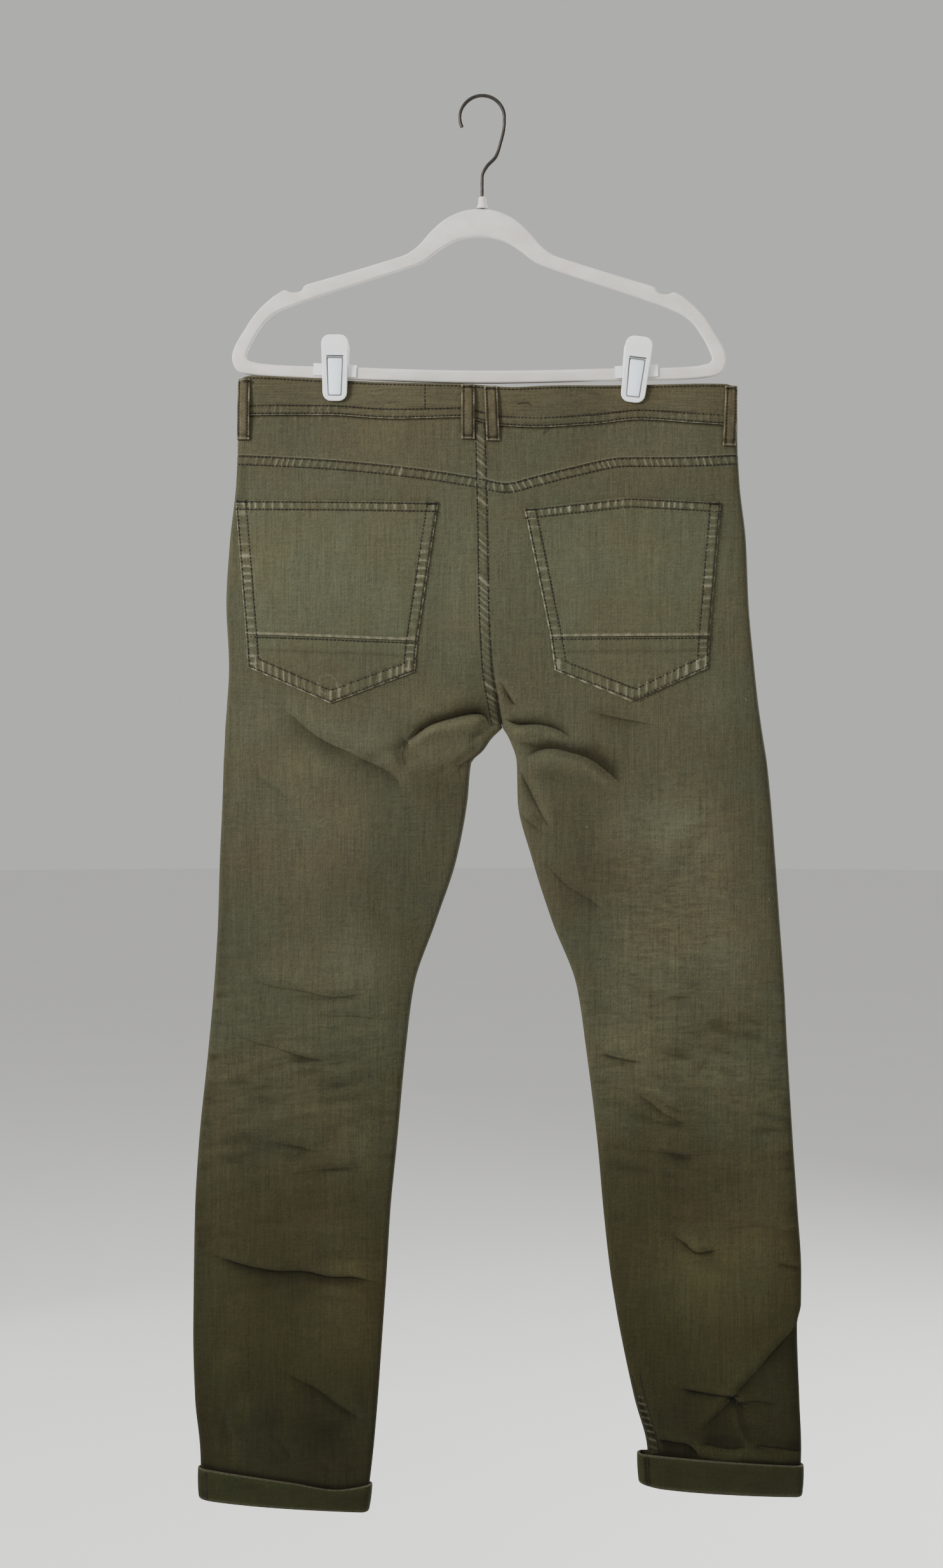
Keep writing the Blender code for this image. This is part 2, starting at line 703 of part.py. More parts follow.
def pocket_piece(name, side, pocket, lower, finish):
    """The upper or the lower piece of a back pocket, lying on the panel."""
    rows = POCKET_LOWER_ROWS if lower else POCKET_UPPER_ROWS
    first, second = (
        ((pocket.cross_outer, pocket.cross_inner), (pocket.low_outer, pocket.low_inner))
        if lower
        else ((pocket.top_outer, pocket.top_inner), (pocket.cross_outer, pocket.cross_inner))
    )
    layers = []
    for inset in (-PATCH_GAP - PATCH_WALL, -PATCH_GAP):
        grid = []
        for i in range(rows + 1):
            down = i / rows
            outer = first[0].x + (second[0].x - first[0].x) * down
            inner = first[1].x + (second[1].x - first[1].x) * down
            row = []
            for j in range(POCKET_COLUMNS + 1):
                share = 1 - math.cos(math.pi / 2 * j / POCKET_COLUMNS)  # closer where the seat curves
                top, cross, foot = pocket_edges(pocket, share)
                high, low = (cross + SEAM_GAP, foot) if lower else (top, cross)
                x = outer + (inner - outer) * share
                row.append(patch_point(side, "back", x, high + (low - high) * down, inset))
            grid.append(row)
        layers.append(grid)
    return wall(name, layers[0], layers[1], finish)


def turn_for(turn, drop, distance):
    """The turn that lies a distance along the waist from another one."""
    step = math.copysign(0.05, distance)
    walked = 0.0
    here = waist_point(turn, drop, 0)
    while walked < abs(distance) * MM:
        turn += step
        there = waist_point(turn, drop, 0)
        walked += (there - here).length
        here = there
    return turn


def belt_loop(loop, finish):
    """A strip that stands off the waistband half way down."""
    layers = []
    rest = BAND_PROUD + PATCH_GAP
    for wall_inset in (-rest - LOOP_WALL, -rest):
        grid = []
        for i in range(LOOP_ROWS + 1):
            down = i / LOOP_ROWS
            drop = loop.top + (loop.low - loop.top) * down
            middle = waist_turn(loop.face, loop.x_top + (loop.x_low - loop.x_top) * down, drop)
            inset = wall_inset - LOOP_BULGE * math.sin(math.pi * down)
            row = []
            for j in range(LOOP_COLUMNS + 1):
                aside = (1 - 2 * j / LOOP_COLUMNS) * LOOP_WIDTH / 2
                row.append(waist_point(turn_for(middle, drop, aside), drop, inset))
            grid.append(row)
        layers.append(grid)
    return wall(loop.name, layers[0], layers[1], finish)


def scoop_drop(side, x):
    """The front pocket's curved mouth, or the waistband seam past its end."""
    outer = outseam(side, SCOOP_LEVEL)
    share = min(1.0, abs(x - outer) / SCOOP_WIDTH)
    seam = band_seam("front", x) + SEAM_GAP / 2
    return seam + SCOOP_DEPTH * (1 - share**2.4) ** 0.8


def facing(name, side, finish):
    """The side piece seen through a front pocket's mouth, under the front panel."""
    outset = CLOTH + FACING_GAP
    inward = 1 if side == "left" else -1
    layers = []
    for inset in (outset, outset + FACING_WALL):
        grid = []
        for i in range(FACING_ROWS + 1):
            down = i / FACING_ROWS
            row = []
            for j in range(FACING_COLUMNS + 1):
                along = 1 - math.cos(math.pi / 2 * j / FACING_COLUMNS)
                from_seam = inset + along * (SCOOP_WIDTH + FACING_UNDER)
                top_x = outseam(side, FACING_LEVEL) + inward * from_seam
                high = band_seam("front", top_x) + SEAM_GAP
                low = scoop_drop(side, top_x - inward * FACING_UNDER) + FACING_UNDER
                drop = high + (max(low, high + FACING_UNDER) - high) * down
                x = outseam(side, drop) + inward * from_seam
                row.append(patch_point(side, "front", x, drop, inset))
            grid.append(row)
        layers.append(grid)
    return wall(name, layers[0], layers[1], finish)


def fly(finish):
    """The doubled J-shaped edge of the left front, lying on the closed fronts."""
    layers = []
    for inset in (-PATCH_GAP - PATCH_WALL, -PATCH_GAP):
        grid = []
        for i in range(FLY_ROWS + 1):
            down = i / FLY_ROWS
            seam_drop = band_seam("front", 0) + FLY_LENGTH * down
            seam = inner_seam("left", seam_drop) - SEAM_GAP
            past = max(0.0, (down - FLY_CURVE) / (1 - FLY_CURVE))
            width = FLY_TIP + (FLY_WIDTH - FLY_TIP) * math.sqrt(max(0.0, 1 - past**2.2))
            row = []
            for j in range(FLY_COLUMNS + 1):
                x = seam - width * (1 - j / FLY_COLUMNS)
                top = band_seam("front", x) + 2 * SEAM_GAP
                foot = band_seam("front", 0) + FLY_LENGTH
                row.append(patch_point("left", "front", x, top + (foot - top) * down, inset))
            grid.append(row)
        layers.append(grid)
    return wall("fly", layers[0], layers[1], finish)


def hem_point(side, face, share, drop, inset):
    """A point round a leg's end, with the columns of a back panel."""
    outer, inner = outseam(side, drop), inner_seam(side, drop)
    inward = math.copysign(1.0, inner - outer)
    inner += inward * TURN_FLARES[side]
    radius = EDGE_ROUND - inset
    width = abs(inner - outer) - 2 * inset
    x = outer + inward * (inset + across(share, BACK_COLUMNS, width, radius, radius))
    depth = section_depth(x, (outer, inner), reading(leg_table(side), face, drop), inset)
    return place(x, -depth if face == "back" else depth, drop)


def turn_up(name, side, top, hem, finish):
    """The hem folded up outside the leg: a ring of cloth with a lip under the leg's end."""
    bm = bmesh.new()
    around = []
    stations = [("back", j / BACK_COLUMNS) for j in range(BACK_COLUMNS)]
    stations += [("front", 1 - j / BACK_COLUMNS) for j in range(BACK_COLUMNS)]
    for face, share in stations:
        x = hem_point(side, face, share, TURN_LEVEL, 0).x / MM
        fold = reading(hem, "drop", x)
        ring = []
        for inset, above in TURN_PROFILE:
            drop = reading(top, "drop", x) if above is None else fold - above
            ring.append(bm.verts.new(hem_point(side, face, share, drop, inset)))
        around.append(ring)
    for j, ring in enumerate(around):
        after = around[(j + 1) % len(around)]
        for k in range(len(TURN_PROFILE)):
            m = (k + 1) % len(TURN_PROFILE)
            bm.faces.new((ring[k], ring[m], after[m], after[k]))
    bmesh.ops.recalc_face_normals(bm, faces=bm.faces)
    mesh = bpy.data.meshes.new(name)
    bm.to_mesh(mesh)
    bm.free()
    smooth_shading(mesh)
    return add_object(name, mesh, finish)


def turned(name, profile, finish):
    """A solid turned about Z from a profile of (radius, height) run down its outer side."""
    mesh = bpy.data.meshes.new(name)
    points = [(r * MM, 0, h * MM) for r, h in profile]
    closed = profile[0][0] > 0
    edges = [(i, i + 1) for i in range(len(points) - 1)] + ([(len(points) - 1, 0)] if closed else [])
    mesh.from_pydata(points, edges, [])
    made = add_object(name, mesh, finish)
    screw = made.modifiers.new("turn", "SCREW")
    screw.steps = screw.render_steps = TURNED_SEGMENTS
    screw.use_merge_vertices = True
    screw.merge_threshold = 0.00001
    screw.use_smooth_shade = True
    return made


def waist_button(finish):
    """A shank button on the lapped end of the waistband."""
    profile = [(r, 0 if depth is None else BUTTON_HEIGHT - depth) for r, depth in BUTTON_PROFILE]
    made = turned("waist_button", profile, finish)
    surface = seat_depth("front", BUTTON_AT.x, BUTTON_AT.drop, -BAND_PROUD)
    lap = BAND_WALL + SEAM_GAP
    made.rotation_euler = (math.radians(-90), 0, 0)
    made.location = place(BUTTON_AT.x, surface + lap + PATCH_GAP, BUTTON_AT.drop)
    return made


def catmull_rom(points, steps, closed):
    """A smooth line through points, with steps more between each two."""
    count = len(points)
    line = []
    for i in range(count if closed else count - 1):
        p0 = points[i - 1] if closed or i > 0 else points[0]
        p1, p2 = points[i], points[(i + 1) % count]
        p3 = points[(i + 2) % count] if closed or i + 2 < count else points[-1]
        for k in range(steps + 1):
            t = k / (steps + 1)
            line.append(
                0.5 * (2 * p1 + (p2 - p0) * t + (2 * p0 - 5 * p1 + 4 * p2 - p3) * t * t
                       + (3 * p1 - 3 * p2 + p3 - p0) * t**3)
            )  # fmt: skip
    return line if closed else [*line, points[-1]]


def flat_solid(name, outlines, thickness, rounding, finish):
    """A plate standing in the XZ plane with rounded edges, made a mesh."""
    data = bpy.data.curves.new(name, "CURVE")
    data.dimensions = "2D"
    data.fill_mode = "BOTH"
    data.extrude = (thickness / 2 - rounding) * MM
    data.bevel_depth = rounding * MM
    data.bevel_resolution = 0
    data.offset = -rounding * MM
    for outline in outlines:
        spline = data.splines.new("POLY")
        spline.points.add(len(outline) - 1)
        for point, place_2d in zip(spline.points, outline):
            point.co = (place_2d[0] * MM, place_2d[1] * MM, 0, 1)
        spline.use_cyclic_u = True
    helper = bpy.data.objects.new(name + "_outline", data)
    collection().objects.link(helper)
    bpy.context.view_layer.update()
    evaluated = helper.evaluated_get(bpy.context.evaluated_depsgraph_get())
    mesh = bpy.data.meshes.new_from_object(evaluated)
    bpy.data.objects.remove(helper)
    bm = bmesh.new()
    bm.from_mesh(mesh)
    bmesh.ops.remove_doubles(bm, verts=bm.verts, dist=0.00001)
    bmesh.ops.transform(bm, matrix=Matrix.Rotation(math.radians(90), 4, "X"), verts=bm.verts)
    bmesh.ops.recalc_face_normals(bm, faces=bm.faces)
    bm.to_mesh(mesh)
    bm.free()
    mesh.name = name
    mesh.materials.clear()
    smooth_shading(mesh, 50)
    return add_object(name, mesh, finish)


def frame_outline(half):
    """A whole outline from the points of its half, mirrored in the hanger's middle."""
    there = [Vector((row.x, -row.drop)) for row in half]
    back = [Vector((-row.x, -row.drop)) for row in reversed(half[1:-1])]
    return catmull_rom(there + back, OUTLINE_STEPS, True)


def hanger_frame(finish):
    """The flat flocked frame: two arms, shoulders with strap notches, and a bar."""
    outlines = (frame_outline(FRAME_OUTER), frame_outline(FRAME_INNER))
    made = flat_solid("hanger_frame", outlines, FRAME_THICKNESS, FRAME_ROUNDING, finish)
    made.location = place(FRAME_CENTRE, 0, 0)
    made.rotation_euler = (0, FRAME_TILT, 0)
    return made


def hanger_hook(finish):
    """A wire hook with a swan neck, its mouth open to the left."""
    centre = Vector((0, 0, WIRE_RADIUS - HOOK_RADIUS))
    route = []
    for i in range(HOOK_STEPS + 1):
        angle = math.radians(HOOK_TIP * (1 - i / HOOK_STEPS))
        route.append(centre + HOOK_RADIUS * Vector((math.cos(angle), 0, math.sin(angle))))
    neck = [route[-1], *(Vector((row.x, 0, -row.drop)) for row in NECK)]
    route += catmull_rom(neck, 1, False)[1:]
    route.append(Vector((0, 0, -COLLAR_FOOT + SEAM_GAP)))
    data = bpy.data.curves.new("hanger_hook", "CURVE")
    data.dimensions = "3D"
    data.bevel_depth = WIRE_RADIUS * MM
    data.bevel_resolution = 2
    data.use_fill_caps = True
    spline = data.splines.new("POLY")
    spline.points.add(len(route) - 1)
    for point, at in zip(spline.points, route):
        point.co = (*(at * MM), 1)
    spline.use_smooth = True
    return add_object("hanger_hook", data, finish)


def hook_collar(finish):
    """The flared socket that the wire stands in, on top of the frame."""
    bore = WIRE_RADIUS + SEAM_GAP
    high, low = -COLLAR_TOP, -COLLAR_FOOT
    profile = (
        (bore, high),
        (COLLAR_RADIUS - 0.5, high),
        (COLLAR_RADIUS, high - 1.2),
        (COLLAR_RADIUS, high - 5),
        (COLLAR_FLARE, low),
        (bore, low),
    )
    return turned("hook_collar", profile, finish)


def rounded_trapezoid(top_width, low_width, height, corner):
    """Outline with its foot at z 0, its corners rounded, from the lower left corner round."""
    centres = (
        (-low_width / 2 + corner, corner, 180),
        (low_width / 2 - corner, corner, 270),
        (top_width / 2 - corner, height - corner, 0),
        (-top_width / 2 + corner, height - corner, 90),
    )
    outline = []
    for x, z, start in centres:
        for k in range(CORNER_STEPS + 1):
            angle = math.radians(start + 90 * k / CORNER_STEPS)
            outline.append(Vector((x + corner * math.cos(angle), z + corner * math.sin(angle))))
    return outline


def recess_cutter(name):
    """A wedge that cuts the sloping recess out of a jaw's outer face."""
    top = CLIP_HEIGHT - RECESS_TOP
    low = top - RECESS_HEIGHT
    face = -JAW_WALL / 2
    clear = face - 2.0
    bm = bmesh.new()
    for z, width, depth in ((low, RECESS_LOW_WIDTH, RECESS_FOOT), (top, RECESS_TOP_WIDTH, RECESS_DEPTH)):
        for y in (clear, face + depth):
            for x in (-width / 2, width / 2):
                bm.verts.new(Vector((x, y, z)) * MM)
    bmesh.ops.convex_hull(bm, input=bm.verts)
    bmesh.ops.recalc_face_normals(bm, faces=bm.faces)
    mesh = bpy.data.meshes.new(name)
    bm.to_mesh(mesh)
    bm.free()
    made = bpy.data.objects.new(name, mesh)
    cutters = bpy.data.collections.get("cutters")
    if cutters is None:
        cutters = bpy.data.collections.new("cutters")
        bpy.context.scene.collection.children.link(cutters)
    cutters.objects.link(made)
    made.hide_render = True
    made.display_type = "WIRE"
    return made


def clip_frame(clip):
    """Where a clip's foot stands and how it leans sideways."""
    return Matrix.Translation(place(clip.x, 0, clip.foot)) @ Matrix.Rotation(clip.lean, 4, "Y")


def jaw(clip, face, finish):
    """One of a clip's two plates, leaning away from the other towards the top."""
    name = f"clip_{clip.name}_{face}_jaw"
    outline = rounded_trapezoid(CLIP_TOP_WIDTH, CLIP_LOW_WIDTH, CLIP_HEIGHT, CLIP_CORNER)
    made = flat_solid(name, (outline,), JAW_WALL, JAW_ROUNDING, finish)
    cutter = recess_cutter(name + "_cutter")
    turned_round = Matrix.Rotation(math.pi, 4, "Z") if face == "front" else Matrix.Identity(4)
    lean = Matrix.Rotation(JAW_LEAN, 4, "X")
    stand = Matrix.Translation(Vector((0, -(JAW_GRIP + JAW_WALL / 2), 0)) * MM)
    matrix = clip_frame(clip) @ turned_round @ stand @ lean
    made.matrix_world = matrix
    cutter.matrix_world = matrix
    cut = made.modifiers.new("recess", "BOOLEAN")
    cut.operation = "DIFFERENCE"
    cut.solver = "EXACT"
    cut.object = cutter
    return made


def bent_strip(name, line, width, thickness, matrix, finish):
    """A strip bent along a line in the YZ plane, given as points, with a wall on its inner side."""
    grids = []
    for inset in (0.0, thickness):
        rows = []
        for i, point in enumerate(line):
            before, after = line[max(0, i - 1)], line[min(len(line) - 1, i + 1)]
            along = (after - before).normalized()
            normal = Vector((0, along.z, -along.y))
            at = point + normal * inset
            rows.append([matrix @ (Vector((s * width / 2, at.y, at.z)) * MM) for s in (-1, 1)])
        grids.append(rows)
    return wall(name, grids[0], grids[1], finish)


def clip_spring(clip, finish):
    """The bowed strip that spreads a clip's handles apart."""
    radius = JAW_GRIP + SPRING_RISE * math.tan(JAW_LEAN) - PATCH_GAP
    foot_y = radius - SPRING_INSET
    line = [Vector((0, -foot_y, SPRING_RISE - SPRING_LEG))]
    for k in range(SPRING_STEPS + 1):
        angle = math.pi * (1 - k / SPRING_STEPS)
        line.append(Vector((0, radius * math.cos(angle), SPRING_RISE + radius * math.sin(angle))))
    line.append(Vector((0, foot_y, SPRING_RISE - SPRING_LEG)))
    name = f"clip_{clip.name}_spring"
    return bent_strip(name, line, SPRING_WIDTH, SPRING_WALL, clip_frame(clip), finish)


def bar_edge(table, x):
    """Height of the bar's top or foot at x, in metres, with the frame's tilt."""
    rows = tuple(reversed(table[-3:]))
    from_middle = x - FRAME_CENTRE
    drop = reading(rows, "drop", abs(from_middle))
    return -(drop + from_middle * math.sin(FRAME_TILT))


def clip_saddle(clip, finish):
    """The pale sleeve that straddles the bar and carries a clip."""
    x = clip.x + (clip.foot + bar_edge(FRAME_INNER, clip.x)) * math.tan(clip.lean)
    crown = bar_edge(FRAME_INNER, x) + PATCH_GAP + SADDLE_WALL
    reach = SADDLE_LENGTH / 2
    slope = math.atan2(bar_edge(FRAME_INNER, x - reach) - bar_edge(FRAME_INNER, x + reach), 2 * reach)
    half = FRAME_THICKNESS / 2 + SEAM_GAP + SADDLE_WALL
    left = [(-half, -SADDLE_DROP - SADDLE_WALL), (-half, -SADDLE_CORNER), (-half + SADDLE_CORNER, 0)]
    right = [(-y, z) for y, z in reversed(left)]
    line = [Vector((0, y, z)) for y, z in left + right]
    matrix = Matrix.Translation(Vector((x, 0, crown)) * MM) @ Matrix.Rotation(slope, 4, "Y")
    return bent_strip(f"clip_{clip.name}_saddle", line, SADDLE_LENGTH, SADDLE_WALL, matrix, finish)


def build_cloth():
    denim = ("denim", 0.9)
    dark = ("denim_dark", 0.9)
    for side, hem, rows_back, rows_front in (
        ("left", LEFT_HEM, LEFT_BACK_ROWS, LEFT_FRONT_ROWS),
        ("right", RIGHT_HEM, RIGHT_BACK_ROWS, RIGHT_FRONT_ROWS),
    ):

        def seat_top(x):
            return reading(YOKE_SEAM, "drop", x) + SEAM_GAP / 2

        def front_top(x, side=side):
            return scoop_drop(side, x)

        def leg_end(x, hem=hem):
            return reading(hem, "drop", x) - TURN_LIP - TURN_GAP

        panel(f"back_leg_{side}", side, "back", seat_top, leg_end, rows_back, BACK_COLUMNS, denim)
        panel(f"front_leg_{side}", side, "front", front_top, leg_end, rows_front, FRONT_COLUMNS, denim)
        yoke(f"yoke_{side}", side, denim)
        facing(f"front_pocket_facing_{side}", side, dark)
    waistband(denim)
    for side, pocket in (("left", LEFT_POCKET), ("right", RIGHT_POCKET)):
        pocket_piece(f"back_pocket_{side}_upper", side, pocket, False, denim)
        pocket_piece(f"back_pocket_{side}_lower", side, pocket, True, denim)
    for loop in BELT_LOOPS:
        belt_loop(loop, denim)
    fly(denim)
    turn_up("turn_up_left", "left", LEFT_TURN_TOP, LEFT_HEM, ("denim_reverse", 0.9))
    turn_up("turn_up_right", "right", RIGHT_TURN_TOP, RIGHT_HEM, ("denim_reverse", 0.9))
    waist_button(("brass", 0.45, 1.0))


def build_hanger():
    hanger_frame(("flock", 0.95))
    hanger_hook(("wire", 0.35, 1.0))
    hook_collar(("wire", 0.35, 1.0))
    for clip in CLIPS:
        for face in ("back", "front"):
            jaw(clip, face, ("clip", 0.45))
        clip_spring(clip, ("wire", 0.35, 1.0))
        clip_saddle(clip, ("clip", 0.45))


def main():
    for old in list(bpy.data.objects):
        bpy.data.objects.remove(old)
    build_cloth()
    build_hanger()


main()
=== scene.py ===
# Skinny jeans on a clip hanger: cloth, sewing, hanger and light.
# Sizes are in millimetres until a mesh is made: x to the right, drop downwards, depth from the middle plane.
import math

import bmesh
import bpy
import numpy as np
from mathutils import Matrix, Vector


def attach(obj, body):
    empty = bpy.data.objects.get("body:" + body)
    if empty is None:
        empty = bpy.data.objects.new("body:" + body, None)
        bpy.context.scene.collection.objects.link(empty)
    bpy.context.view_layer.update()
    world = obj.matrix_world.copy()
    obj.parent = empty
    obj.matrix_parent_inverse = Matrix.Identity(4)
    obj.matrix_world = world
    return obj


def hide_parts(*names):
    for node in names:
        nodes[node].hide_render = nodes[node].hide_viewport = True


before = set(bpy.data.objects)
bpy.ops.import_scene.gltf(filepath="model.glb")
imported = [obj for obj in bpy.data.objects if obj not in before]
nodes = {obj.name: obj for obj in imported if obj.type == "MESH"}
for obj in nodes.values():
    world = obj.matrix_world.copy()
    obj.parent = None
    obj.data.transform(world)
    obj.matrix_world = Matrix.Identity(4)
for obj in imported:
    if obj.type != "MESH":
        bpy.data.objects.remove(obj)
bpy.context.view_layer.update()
mm = 0.001
inwards = {"left": 1, "right": -1}  # the way from an outseam to the middle


def table(names, *rows):
    return {name: np.array([row[i] for row in rows], float) for i, name in enumerate(names.split())}


def softStep(t):
    t = np.clip(t, 0.0, 1.0)
    return t * t * (3 - 2 * t)


def hump(distance, width):
    return np.exp(-((distance / width) ** 2))


def reading(rows, column, at):
    # a smooth curve through a table that never overshoots its values
    places, values = rows[next(iter(rows))], rows[column]
    rises = np.diff(values) / np.diff(places)
    slopes = np.zeros(len(places))
    slopes[0], slopes[-1] = rises[0], rises[-1]
    product = rises[:-1] * rises[1:]
    total = np.where(product > 0, rises[:-1] + rises[1:], 1.0)
    slopes[1:-1] = np.where(product > 0, 2 * product / total, 0.0)
    at = np.clip(np.asarray(at, float), places[0], places[-1])
    i = np.clip(np.searchsorted(places, at, side="right") - 1, 0, len(places) - 2)
    step = places[i + 1] - places[i]
    t = (at - places[i]) / step
    return (
        values[i] * (1 + 2 * t) * (1 - t) ** 2
        + slopes[i] * step * t * (1 - t) ** 2
        + values[i + 1] * t * t * (3 - 2 * t)
        + slopes[i + 1] * step * t * t * (t - 1)
    )


def cloudNoise(x, y, sizeX, sizeY, seed):
    # smooth random hills from -1 to 1, the same on every run
    heights = np.random.default_rng(seed).uniform(-1, 1, (64, 64))
    u, v = np.broadcast_arrays(x / sizeX + 31.7, y / sizeY + 17.3)
    i, j = np.floor(u).astype(int), np.floor(v).astype(int)
    a, b = softStep(u - i), softStep(v - j)
    i, j = i % 63, j % 63
    upper = heights[i, j] * (1 - a) + heights[i + 1, j] * a
    lower = heights[i, j + 1] * (1 - a) + heights[i + 1, j + 1] * a
    return upper * (1 - b) + lower * b


def puckers(along, pitch, seed):
    # the uneven ripples that a felled seam draws up between its rows
    wander = cloudNoise(along, 0.0, pitch * 2.4, 1.0, seed)
    swell = np.clip(0.80 + 0.45 * cloudNoise(along, 0.0, pitch * 2.7, 1.0, seed + 1), 0.12, 1.2)
    return swell * np.sin(2 * np.pi * (along / pitch + 0.75 * wander))


print("stage: forms of the body")
body = {
    "clothWall": 1.3,
    "bandWall": 2.0,
    "patchWall": 1.4,
    "seamGap": 0.3,
    "seamLap": 0.04,
    "patchGap": 0.45,
    "edgeRound": 4.5,
    "crotch": 567.0,
    "seatBlend": 490.0,
    "bandProud": 0.4,
    "bandLap": 20.0,
    "bandUnderlap": 15.0,
    "lapStart": -48.0,
    "lapFull": -20.0,
    "hemLip": 2.6,
}
seat = table(
    "drop left right centre back front",
    (248, -217.5, 228.5, 1.6, 8, 7),
    (300, -219.3, 229, 3.2, 11.5, 9),
    (345, -221, 231, 4.4, 15.5, 12),
    (400, -226.8, 237, 5.6, 19, 14),
    (455, -230, 239.3, 6.4, 21, 15),
    (512, -227.6, 244.4, 9.2, 20.5, 15),
    (545, -229.3, 248, 14.4, 19.5, 14.5),
    (567, -231, 251, 18.2, 19, 14),
)
legs = {
    "left": table(
        "drop outer inner back front",
        (567, -231, 18.2, 17, 13),
        (576, -231.3, 8.8, 17, 13),
        (587, -231.8, 1, 17, 13),
        (598, -232.4, -9.7, 17, 13),
        (632, -233.5, -13.1, 16, 13),
        (684, -235.8, -22.8, 15.5, 12.5),
        (741, -237.5, -41.7, 14.5, 12),
        (798, -241, -61.1, 13.5, 11.5),
        (855, -246.1, -68.5, 13, 11.5),
        (940, -254.7, -76.5, 12.5, 11),
        (998, -258.1, -82.2, 12, 10.5),
        (1055, -259.2, -85.7, 11, 10),
        (1112, -259.8, -89.6, 10.5, 10),
        (1169, -258.1, -93.6, 10, 9.5),
        (1215, -253.5, -97.6, 9.5, 9),
        (1268, -252, -104, 9, 8.5),
    ),
    "right": table(
        "drop outer inner back front",
        (567, 251, 18.2, 17, 13),
        (576, 252.4, 23.8, 17, 13),
        (598, 255.8, 30.8, 17, 13),
        (632, 259.2, 31.6, 16, 13),
        (684, 263.2, 44.5, 15.5, 12.5),
        (741, 267.2, 62.8, 14.5, 12),
        (798, 271.2, 84.5, 13.5, 11.5),
        (855, 274.1, 93.1, 13, 11.5),
        (940, 279.2, 103.4, 12.5, 11),
        (998, 283.2, 108.5, 12, 10.5),
        (1055, 286.6, 114.8, 11, 10),
        (1084, 286.4, 119.3, 10.5, 10),
        (1102, 282.8, 122.4, 10.5, 10),
        (1169, 284.9, 136.5, 10, 9.5),
        (1213, 286.6, 148, 9.5, 9),
        (1256, 285, 150.5, 9, 8.5),
    ),
}
bandTop = {
    "back": table(
        "x drop",
        (-222, 255.5), (-208, 250.9), (-171, 252.2), (-121, 254.8), (-61, 258), (-20, 258.9),
        (28, 262), (53, 260.8), (103, 259.4), (195, 258.2), (217, 258.4), (232, 263.5),
    ),
    "front": table("x drop", (-222, 255.5), (5, 259), (232, 263.5)),
}  # fmt: skip
bandSeam = {
    "back": table(
        "x drop",
        (-222, 287), (-140, 286), (-69, 290.5), (-20, 289.5), (16, 297), (50, 298.5),
        (95, 295), (142, 290), (195, 294), (232, 296),
    ),
    "front": table("x drop", (-222, 287), (5, 291.5), (232, 296)),
}  # fmt: skip
yokeSeam = table(
    "x drop",
    (-224, 322), (-140, 327), (-61, 335.5), (-3, 344.5), (21, 349), (45, 343.5), (78, 335),
    (128, 325), (180, 324.5), (234, 321.5),
)  # fmt: skip
hems = {
    "left": table("x drop", (-258, 1256.5), (-240, 1259.5), (-104, 1269.5)),
    "right": table("x drop", (140, 1243.5), (162, 1248.2), (290, 1256.3)),
}
turnTops = {
    "left": table("x drop", (-258, 1229), (-170, 1241.5), (-128, 1248.2), (-98, 1244.5)),
    "right": table("x drop", (138, 1216.5), (194, 1220.8), (292, 1228.4)),
}
clips = {
    "left": {"x": -132.2, "foot": 273.6, "lean": math.radians(0.4)},
    "right": {"x": 134.2, "foot": 274.8, "lean": math.radians(6.8)},
}
grip = {"depth": 2.5, "halfWidth": 16.0, "fade": 58.0, "foot": 280.0, "footFade": 70.0}

